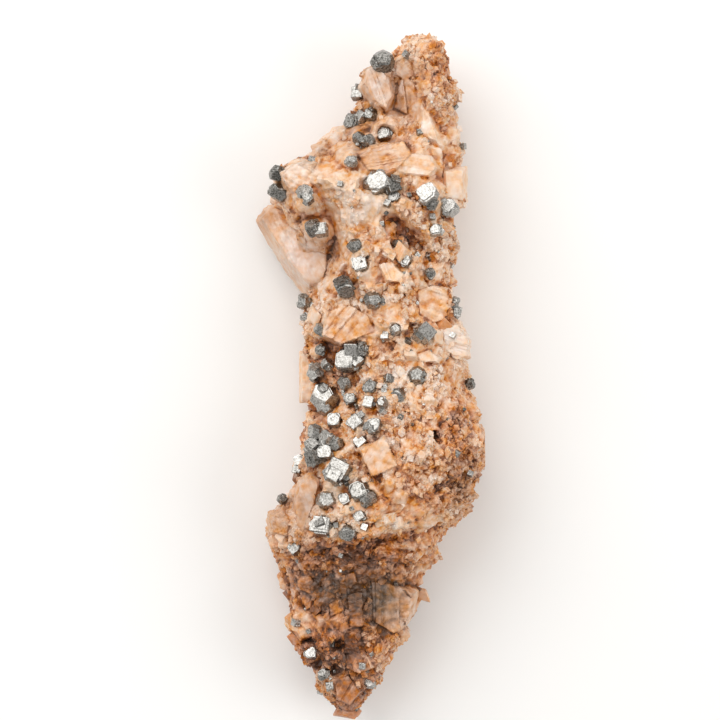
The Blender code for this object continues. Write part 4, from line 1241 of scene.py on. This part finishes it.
# Each pyrite crystal: x, y, width across, shape, and whether its top face leans towards the light. Crystals in one
# inner list have grown together.
PYRITE = {
    "spire": [
        [(2.5, 70.7, 4.6, TWELVE, False)],
        [(-3.4, 64.5, 2.9, CUBE, True)],
        [(-4.6, 57.9, 3.2, MIXED, False), (-2.5, 58.8, 2.6, CUBE, False), (-0.7, 59.1, 2.9, TWELVE, False)],
        [(-3.2, 53.4, 2.8, TWELVE, False), (-1.2, 53.0, 2.6, MIXED, False)],
        [(2.7, 54.6, 3.1, MIXED, True)],
        [(-4.8, 47.9, 2.6, TWELVE, False)],
    ],
    "shoulder": [
        [(-21.6, 45.8, 3.2, TWELVE, False)],
        [(-21.2, 41.7, 3.9, TWELVE, False)],
        [(-15.3, 41.0, 2.8, MIXED, False), (-14.4, 39.3, 2.0, CUBE, False)],
        [(1.6, 42.9, 4.7, MIXED, True), (4.0, 42.2, 3.4, CUBE, False), (-1.1, 42.9, 2.6, TWELVE, False),
         (4.6, 39.9, 2.3, MIXED, True)],
        [(12.0, 40.4, 4.1, MIXED, True), (13.1, 38.5, 2.3, CUBE, False)],
        [(17.2, 37.8, 3.5, MIXED, True), (15.7, 38.7, 2.2, TWELVE, False)],
        [(-13.5, 33.1, 3.1, MIXED, False), (-11.6, 32.6, 2.8, CUBE, True)],
        [(-3.9, 29.2, 2.8, TWELVE, False)],
        [(14.1, 32.6, 2.4, MIXED, True)],
        [(5.2, 29.6, 2.0, TWELVE, False)],
        [(-2.7, 24.9, 3.3, CUBE, True)],
        [(7.2, 25.6, 2.5, MIXED, True)],
        [(12.8, 22.9, 2.2, TWELVE, False)],
    ],
    "waist": [
        [(-6.6, 19.8, 3.9, MIXED, False)],
        [(-0.2, 16.9, 3.5, TWELVE, False)],
        [(18.0, 16.6, 2.4, MIXED, False), (18.4, 14.5, 2.3, CUBE, False)],
        [(-15.7, 16.9, 3.0, TWELVE, False)],
        [(-11.6, 10.4, 2.3, CUBE, False)],
        [(11.4, 9.6, 3.7, CUBE, False)],
        [(4.8, 10.5, 2.5, TWELVE, False)],
    ],
    "hollow": [
        [(-5.9, 3.2, 4.4, MIXED, True), (-3.7, 3.6, 2.9, CUBE, True), (-4.8, 6.2, 3.1, CUBE, False),
         (-2.8, 6.2, 3.2, MIXED, False)],
        [(-11.7, 6.0, 2.3, TWELVE, False)],
        [(-10.4, 2.7, 2.4, MIXED, False)],
        [(-13.1, 0.8, 3.9, TWELVE, False)],
        [(-10.7, -5.0, 5.9, TWELVE, True)],
        [(-6.4, -1.6, 2.7, TWELVE, False)],
        [(-5.0, -5.3, 2.7, MIXED, False)],
        [(9.6, 0.3, 3.6, TWELVE, False)],
        [(3.4, -0.6, 2.1, CUBE, False)],
        [(-0.5, -2.3, 2.7, MIXED, False)],
        [(-0.9, -5.8, 2.4, CUBE, True)],
        [(2.0, -5.8, 2.3, TWELVE, False)],
        [(5.4, -4.2, 3.0, MIXED, False)],
        [(-3.9, -10.4, 3.0, CUBE, True)],
        [(0.3, -11.0, 3.0, MIXED, True)],
        [(-2.9, -14.6, 2.8, CUBE, True)],
        [(-8.6, -10.0, 3.2, MIXED, True)],
    ],
    "cluster": [
        [(-12.8, -12.5, 3.2, TWELVE, False), (-10.2, -14.0, 3.2, MIXED, False), (-13.5, -15.7, 3.0, CUBE, False),
         (-10.6, -17.0, 3.4, MIXED, True), (-13.0, -18.0, 3.6, CUBE, False), (-8.4, -15.0, 3.2, TWELVE, False)],
    ],
    "foot": [
        [(-7.6, -20.9, 4.6, CUBE, True)],
        [(-16.6, -19.4, 2.4, MIXED, True), (-16.9, -20.9, 2.1, CUBE, True)],
        [(-3.0, -25.6, 4.0, MIXED, True), (-1.1, -26.9, 3.6, TWELVE, False)],
        [(-6.4, -27.3, 2.3, MIXED, True)],
        [(-10.4, -27.6, 3.9, TWELVE, False)],
        [(-3.0, -31.0, 2.5, MIXED, True)],
        [(-11.2, -33.2, 3.9, CUBE, True), (-13.0, -33.0, 2.1, MIXED, True)],
        [(-5.5, -34.7, 3.2, MIXED, False)],
        [(-20.5, -28.0, 2.2, TWELVE, False)],
        [(-17.4, -38.6, 2.7, MIXED, False)],
        [(22.1, -1.8, 2.2, TWELVE, False)],
        [(-13.9, -62.4, 2.2, MIXED, True)],
        [(-11.2, -67.4, 2.5, TWELVE, False)],
        [(-0.6, -69.6, 2.5, MIXED, True)],
    ],
}


# Pyrite grains that are plain to see: x, y, width across, and whether the top face leans towards the light
SMALL_PYRITE = (
    (7.5, 72.5, 1.5, False), (18.7, 61.3, 1.2, True), (-13.9, 48.4, 1.6, False), (-7.3, 42.6, 1.2, True),
    (20.3, 52.2, 1.4, False), (10.5, 54.7, 1.3, False), (2.7, 9.1, 1.8, True), (17.8, 9.1, 1.3, True),
    (-15.5, 13.2, 1.7, False), (2.1, -7.8, 1.3, False), (18.5, -16.9, 1.3, False), (21.7, -21.9, 1.2, False),
    (-17.3, -55.6, 1.6, False), (-2.3, -65.2, 1.5, False), (-9.8, -70.2, 1.7, False), (7.8, 33.0, 1.0, False),
    (-14.5, -57.5, 1.0, False), (15.0, 32.4, 1.4, True), (9.6, 27.2, 1.2, False), (-9.5, -60.3, 1.3, True),
)
# Where pyrite grains too small for the tables lie thickest
GRAINS = SpotMap(0.12, ((-8, -6, 8, 22, 1.2), (0, 45, 20, 14, 0.5), (10, 30, 9, 8, 0.4), (-8, -60, 8, 12, 0.4)))


@dataclass(frozen=True)
class SeatedPyrite:
    """One pyrite crystal in its place.

    Attributes:
        centre: its middle, in millimetres.
        width: across its faces.
        habit: its shape.
        turn: its rotation.
        bright: whether it catches the light.
    """

    centre: np.ndarray
    width: float
    habit: Habit
    turn: np.ndarray
    bright: bool

    def ceiling(self, x: np.ndarray, y: np.ndarray) -> np.ndarray:
        """Greatest height of the rock at and round the crystal: just over its middle, and rising away from it."""
        away = np.hypot(x - self.centre[0], y - self.centre[1])
        return self.centre[2] + 0.06 * self.width + 2.4 * np.clip(away - 0.48 * self.width, 0, None)

    def support(self, x: np.ndarray, y: np.ndarray) -> np.ndarray:
        """Least height of the rock under the crystal: a little under its middle, and falling away from it."""
        away = np.hypot(x - self.centre[0], y - self.centre[1])
        return self.centre[2] - 0.16 * self.width - 2.0 * np.clip(away - 0.34 * self.width, 0, None)


@dataclass(frozen=True)
class PyriteCrystals:
    """Pyrite crystals in their places, with cut edges and raised growth plates on their faces.

    Attributes:
        edge_cut: bevel of the edges as a share of the half width.
        plate_rise: how far growth plates stand off the faces, as a share of the half width.
        side_crystals: small crystals that grow beside each one.
        tip: how far every other one of those is tipped from its neighbour's lie, in radians.
    """

    edge_cut: float = 0.06
    plate_rise: float = 0.03
    side_crystals: int = 5
    tip: float = 0.7

    def planes(self, habit: Habit) -> tuple[np.ndarray, np.ndarray]:
        """Normals and reaches, for a half width of 1, of one habit.

        Args:
            habit: the crystal's shape.

        Returns:
            The planes, the same as the CAD solid's.
        """
        cube = [np.roll([side, 0, 0], k) for k in range(3) for side in (-1, 1)]
        twelve = [np.roll([0, a, 2 * b], k) for k in range(3) for a in (-1, 1) for b in (-1, 1)]
        corners = list(itertools.product((-1, 1), repeat=3))
        if habit is CUBE:
            normals, reaches = cube, [1.0] * 6
        elif habit is TWELVE:
            normals, reaches = twelve, [0.97] * 12
        else:
            normals, reaches = cube + corners, [0.98] * 6 + [1.34] * 8
        normals = np.array(normals, float)
        return normals / np.linalg.norm(normals, axis=1, keepdims=True), np.array(reaches)

    def template(self, habit: Habit) -> list[tuple[np.ndarray, list[list[int]]]]:
        """The crystal with cut edges, and three slightly narrower ones whose faces stand out as growth steps.

        Args:
            habit: the crystal's shape.

        Returns:
            Each solid's corners and faces, for a half width of 1.
        """
        normals, reaches = self.planes(habit)
        cut_normals, cut_reaches = normals, reaches
        for a, b in itertools.combinations(range(len(normals)), 2):
            joint = normals[a] + normals[b]
            length = np.linalg.norm(joint)
            if normals[a] @ normals[b] > -0.2 and length > 0.5:
                edge = (reaches[a] + reaches[b]) / length
                cut_normals = np.vstack([cut_normals, joint / length])
                cut_reaches = np.append(cut_reaches, edge - self.edge_cut)
        solids = [solid_faces(cut_normals, cut_reaches)]
        for axis in range(3):
            narrow = np.array([0.8, 0.9, 1.0])[[axis, (axis + 1) % 3, (axis + 2) % 3]]
            share = np.abs(normals) @ narrow
            raised = np.where(share > 0.97, reaches + self.plate_rise, reaches * share)
            solids.append(solid_faces(normals, raised))
        return solids

    @staticmethod
    def turn(count: int, bright: bool) -> np.ndarray:
        """The turn of a crystal: bright ones have a face leaning to the light, and the rest lie any way.

        Args:
            count: the crystal's number.
            bright: whether it catches the light.

        Returns:
            A rotation matrix, the same as the CAD solid's.
        """
        spin = Matrix.Rotation(math.radians(GOLDEN_TURN * count), 3, "Z")
        if bright:
            return np.array(LIGHT_LEAN.to_track_quat("Z", "Y").to_matrix() @ spin)
        tilt = math.radians(18 + 23 * (count * 0.618 % 1))
        lean = Matrix.Rotation(tilt, 3, "X") @ Matrix.Rotation(math.radians(31 * count), 3, "Z")
        return np.array(spin @ lean)

    @staticmethod
    def seat(node: str, corners: np.ndarray) -> float:
        """Height of a crystal's middle, read from the CAD solid.

        A corner of the crystal has the same place from above in the solid, at its true height.

        Args:
            node: the CAD node.
            corners: the crystal's corners round (x, y, 0), in millimetres.

        Returns:
            The height in millimetres.
        """
        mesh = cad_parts[node].data
        solid = np.empty(len(mesh.vertices) * 3, np.float32)
        mesh.vertices.foreach_get("co", solid)
        solid = solid.reshape(-1, 3) / MM - CENTRING
        apart = np.linalg.norm(solid[:, None, :2] - corners[None, :, :2], axis=2)
        at, corner = np.nonzero(apart < 0.02)
        lifts = np.sort(solid[at, 2] - corners[corner, 2])
        votes = (np.abs(lifts[:, None] - lifts[None]) < 0.05).sum(1)
        return float(lifts[votes.argmax()])

    def seated(self) -> dict[str, list[SeatedPyrite]]:
        """Every crystal in its place, by the name of its CAD node."""
        count = 0
        seated = {}
        for zone, groups in PYRITE.items():
            for number, crystals in enumerate(groups, 1):
                node = f"pyrite_{zone}_{number:02d}"
                seated[node] = []
                for x, y, width, habit, bright in crystals:
                    turn = self.turn(count, bright)
                    count += 1
                    plain = solid_faces(*self.planes(habit))[0] * width / 2 @ turn.T + (x, y, 0)
                    centre = np.array([x, y, self.seat(node, plain)])
                    if bright and habit is TWELVE:
                        turn = turn @ np.array(Matrix.Rotation(-math.atan(0.5), 3, "X"))
                    seated[node].append(SeatedPyrite(centre, width, habit, turn, bright))
        return seated

    def build(self, seated: dict[str, list[SeatedPyrite]], material: bpy.types.Material,
              rng: np.random.Generator) -> None:
        """Makes a piece for each CAD node of pyrite.

        Args:
            seated: the crystals of each node.
            material: the pyrite finish.
            rng: the source of the random tints and small side crystals.
        """
        templates = {habit: self.template(habit) for habit in Habit}
        for node, crystals in seated.items():
            pile = Pile()
            for crystal in crystals:
                # Crystals whose face leans to the light get a paler metal colour, a painted highlight that makes their
                # flash read white.
                tint = rng.uniform(0.4, 0.8) if crystal.bright else rng.uniform(0, 0.75)
                half = crystal.width / 2
                stripes = rng.integers(3)
                main, *growths = templates[crystal.habit]
                self.lay(pile, main, crystal, half * 0.92, np.zeros(3), tint, stripes)
                for growth in growths:
                    aside = rng.uniform(-0.11, 0.11, 3) * crystal.width
                    self.lay(pile, growth, crystal, half * rng.uniform(0.82, 0.92), aside, tint, stripes)
                for number in range(self.side_crystals):
                    aside = rng.normal(0, 1, 3) * (1, 1, 0.5)
                    aside *= crystal.width * rng.uniform(0.24, 0.46) / np.linalg.norm(aside)
                    beside = crystal if number % 2 else self.tipped(crystal, rng)
                    self.lay(pile, main, beside, half * rng.uniform(0.3, 0.62), aside, tint, stripes)
            obj = pile.to_object(f"{node}_crystals", material)
            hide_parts(node)

    def tipped(self, crystal: SeatedPyrite, rng: np.random.Generator) -> SeatedPyrite:
        """The same crystal tipped up to a set angle any way, as its neighbours in a group are."""
        angles = rng.uniform(-self.tip, self.tip, 3)
        tip = np.linalg.multi_dot([np.array(Matrix.Rotation(angle, 3, axis)) for angle, axis in zip(angles, "XYZ")])
        return replace(crystal, turn=tip @ crystal.turn)

    @staticmethod
    def lay(pile: Pile, shape: tuple[np.ndarray, list[list[int]]], crystal: SeatedPyrite, half: float,
            aside: np.ndarray, tint: float, stripes: int) -> None:
        """Adds one body of a crystal's growth, turned as the crystal is.

        Args:
            pile: the mesh being gathered.
            shape: corners and faces for a half width of 1.
            crystal: the crystal that it belongs to.
            half: its half width.
            aside: its middle from the crystal's.
            tint: a number for its colour.
            stripes: the axis that its growth stripes run across.
        """
        corners, faces = shape
        points = corners * half @ crystal.turn.T + crystal.centre + aside
        lie = np.roll(corners * half, stripes, axis=1) * STRIPE_STRETCH + tint * 100
        pile.add(points, faces, lie, tint=tint)

    def scatter(self, crust: Crust, kept_clear: Ceiling, material: bpy.types.Material,
                rng: np.random.Generator, count: int = 110) -> bpy.types.Object:
        """Sows pyrite grains too small to be nodes over the face.

        Args:
            crust: the surface that they grow on.
            kept_clear: the rock's greatest height; grains over it are left out.
            material: the pyrite finish.
            rng: the source of the random draws.
            count: number of grains.

        Returns:
            The piece, every grain joined in one mesh.
        """
        points, outward = crust.points, crust.outward
        chance = np.clip(outward[:, 2], 0, 1) * np.clip(GRAINS.at(points), 0, None)
        chance *= points[:, 2] + 0.3 < kept_clear(points[:, 0], points[:, 1])
        picked = rng.choice(len(points), count, p=chance / chance.sum())
        grains = [(at, 0.25 + 0.5 * rng.uniform(0, 1) ** 2.5, number % 6 == 0) for number, at in enumerate(picked)]
        for x, y, width, bright in SMALL_PYRITE:
            apart = np.hypot(points[:, 0] - x, points[:, 1] - y) - outward[:, 2]
            grains.append((apart.argmin(), width / 2, bright))
        corners, faces = self.template(CUBE)[0]
        pile = Pile()
        for number, (at, half, bright) in enumerate(grains):
            turn = self.turn(number * 7, bright)
            pile.add(corners * half @ turn.T + points[at] + outward[at] * half * 0.15, faces,
                     corners * half * STRIPE_STRETCH, tint=rng.uniform(0, 1))
        return pile.to_object("pyrite_grains", material)


@dataclass(frozen=True)
class Studio:
    """A pale floor, soft lights and a camera that looks straight down on the specimen."""

    view_mm: float = 164.16
    aim_mm: tuple[float, float] = (-2.96, 3.65)
    distance: float = 0.6
    plane: float = 0.016
    floor_colour: str = "#f4f3f1"

    def build(self) -> None:
        """Makes the floor, the lights, the world and the camera."""
        scene = bpy.context.scene
        scene.view_settings.view_transform = "Standard"
        scene.view_settings.look = "None"
        bpy.ops.mesh.primitive_plane_add(size=3.0, location=(0, 0, 0))
        floor = bpy.context.object
        floor.name = "floor"
        material = bpy.data.materials.new("floor_paper")
        material.use_nodes = True
        shader = material.node_tree.nodes["Principled BSDF"]
        shader.inputs["Base Color"].default_value = linear(self.floor_colour)
        shader.inputs["Roughness"].default_value = 0.9
        floor.data.materials.append(material)
        world = bpy.data.worlds.new("studio")
        world.use_nodes = True
        world.node_tree.nodes["Background"].inputs["Color"].default_value = (1.0, 0.99, 0.97, 1)
        world.node_tree.nodes["Background"].inputs["Strength"].default_value = 0.4
        scene.world = world
        self.light("key", (-0.45, 0.55, 0.70), 0.8, 0.8, 4.8)
        self.light("fill", (0.75, -0.15, 0.64), 0.9, 0.6, 2.9)
        self.light("top", (0.08, 0.1, 1.0), 1.0, 0.8, 1.2)
        self.light("low_left", (-0.85, -0.45, 0.5), 0.8, 0.5, 0.9)
        self.light("far_right", (0.4, 0.85, 0.45), 0.9, 0.5, 0.9)
        camera = bpy.data.objects.new("camera", bpy.data.cameras.new("camera"))
        scene.collection.objects.link(camera)
        camera.location = (self.aim_mm[0] * MM + CENTRING[0] * MM, self.aim_mm[1] * MM + CENTRING[1] * MM,
                           self.plane + self.distance)
        camera.data.sensor_width = 36
        camera.data.lens = 36 * self.distance / (self.view_mm * MM)
        camera.data.clip_start = 0.01
        scene.camera = camera

    @staticmethod
    def light(name: str, direction: tuple[float, float, float], distance: float, size: float, power: float) -> None:
        """Adds a square soft light that faces the specimen.

        Args:
            name: the light's name.
            direction: from the specimen to the light.
            distance: in metres.
            size: side in metres.
            power: in watts.
        """
        lamp = bpy.data.lights.new(name, "AREA")
        lamp.energy = power
        lamp.size = size
        obj = bpy.data.objects.new(name, lamp)
        bpy.context.scene.collection.objects.link(obj)
        way = Vector(direction).normalized()
        obj.location = way * distance
        obj.rotation_euler = way.to_track_quat("Z", "Y").to_euler()


def main() -> None:
    """Builds the specimen and the studio, and reports each piece."""
    logging.basicConfig(level=logging.INFO, format="%(name)s: %(message)s")
    rng = np.random.default_rng(SEED)
    crusted = DolomiteFinish("dolomite_crusted").build()
    cleaved = DolomiteFinish("dolomite_cleaved", shift=-0.06, gleam=0.36, depth=0.25, spread=1.5, lines=0.2).build()
    metal = PyriteFinish().build()
    body = Body()
    pyrite = PyriteCrystals()
    seated = pyrite.seated()
    ceilings = [block.ceiling(body) for block in BLOCKS.values()]
    crystals = [crystal for group in seated.values() for crystal in group]
    ceilings += [crystal.ceiling for crystal in crystals]
    supports = [crystal.support for crystal in crystals]
    crust = body.surface(ceilings, supports, [block for block in BLOCKS.values() if not block.free])
    body.build(crust, crusted)

    def kept_clear(x: np.ndarray, y: np.ndarray) -> np.ndarray:
        """The lowest of the ceilings at each place."""
        return np.min([ceiling(x, y) for ceiling in ceilings], axis=0)

    for name, block in BLOCKS.items():
        if block.free:
            block.build(name, body, cleaved)
    medium = RhombCrust("rhombs_medium", 230, 1.2, 3.0, 0.36, chamfer=0.08, looseness=0.25, sugar_power=-0.3,
                        tints=(-0.03, 0.14), flank=-0.2)
    medium.build(crust, kept_clear, cleaved, rng)
    small = RhombCrust("rhombs_small", 4600, 0.4, 1.1, 0.5, looseness=0.9, sugar_power=1.5)
    small.build(crust, kept_clear, crusted, rng)
    pyrite.build(seated, metal, rng)
    pyrite.scatter(crust, kept_clear, metal, rng)
    Studio().build()
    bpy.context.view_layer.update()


if __name__ == "__main__":
    main()
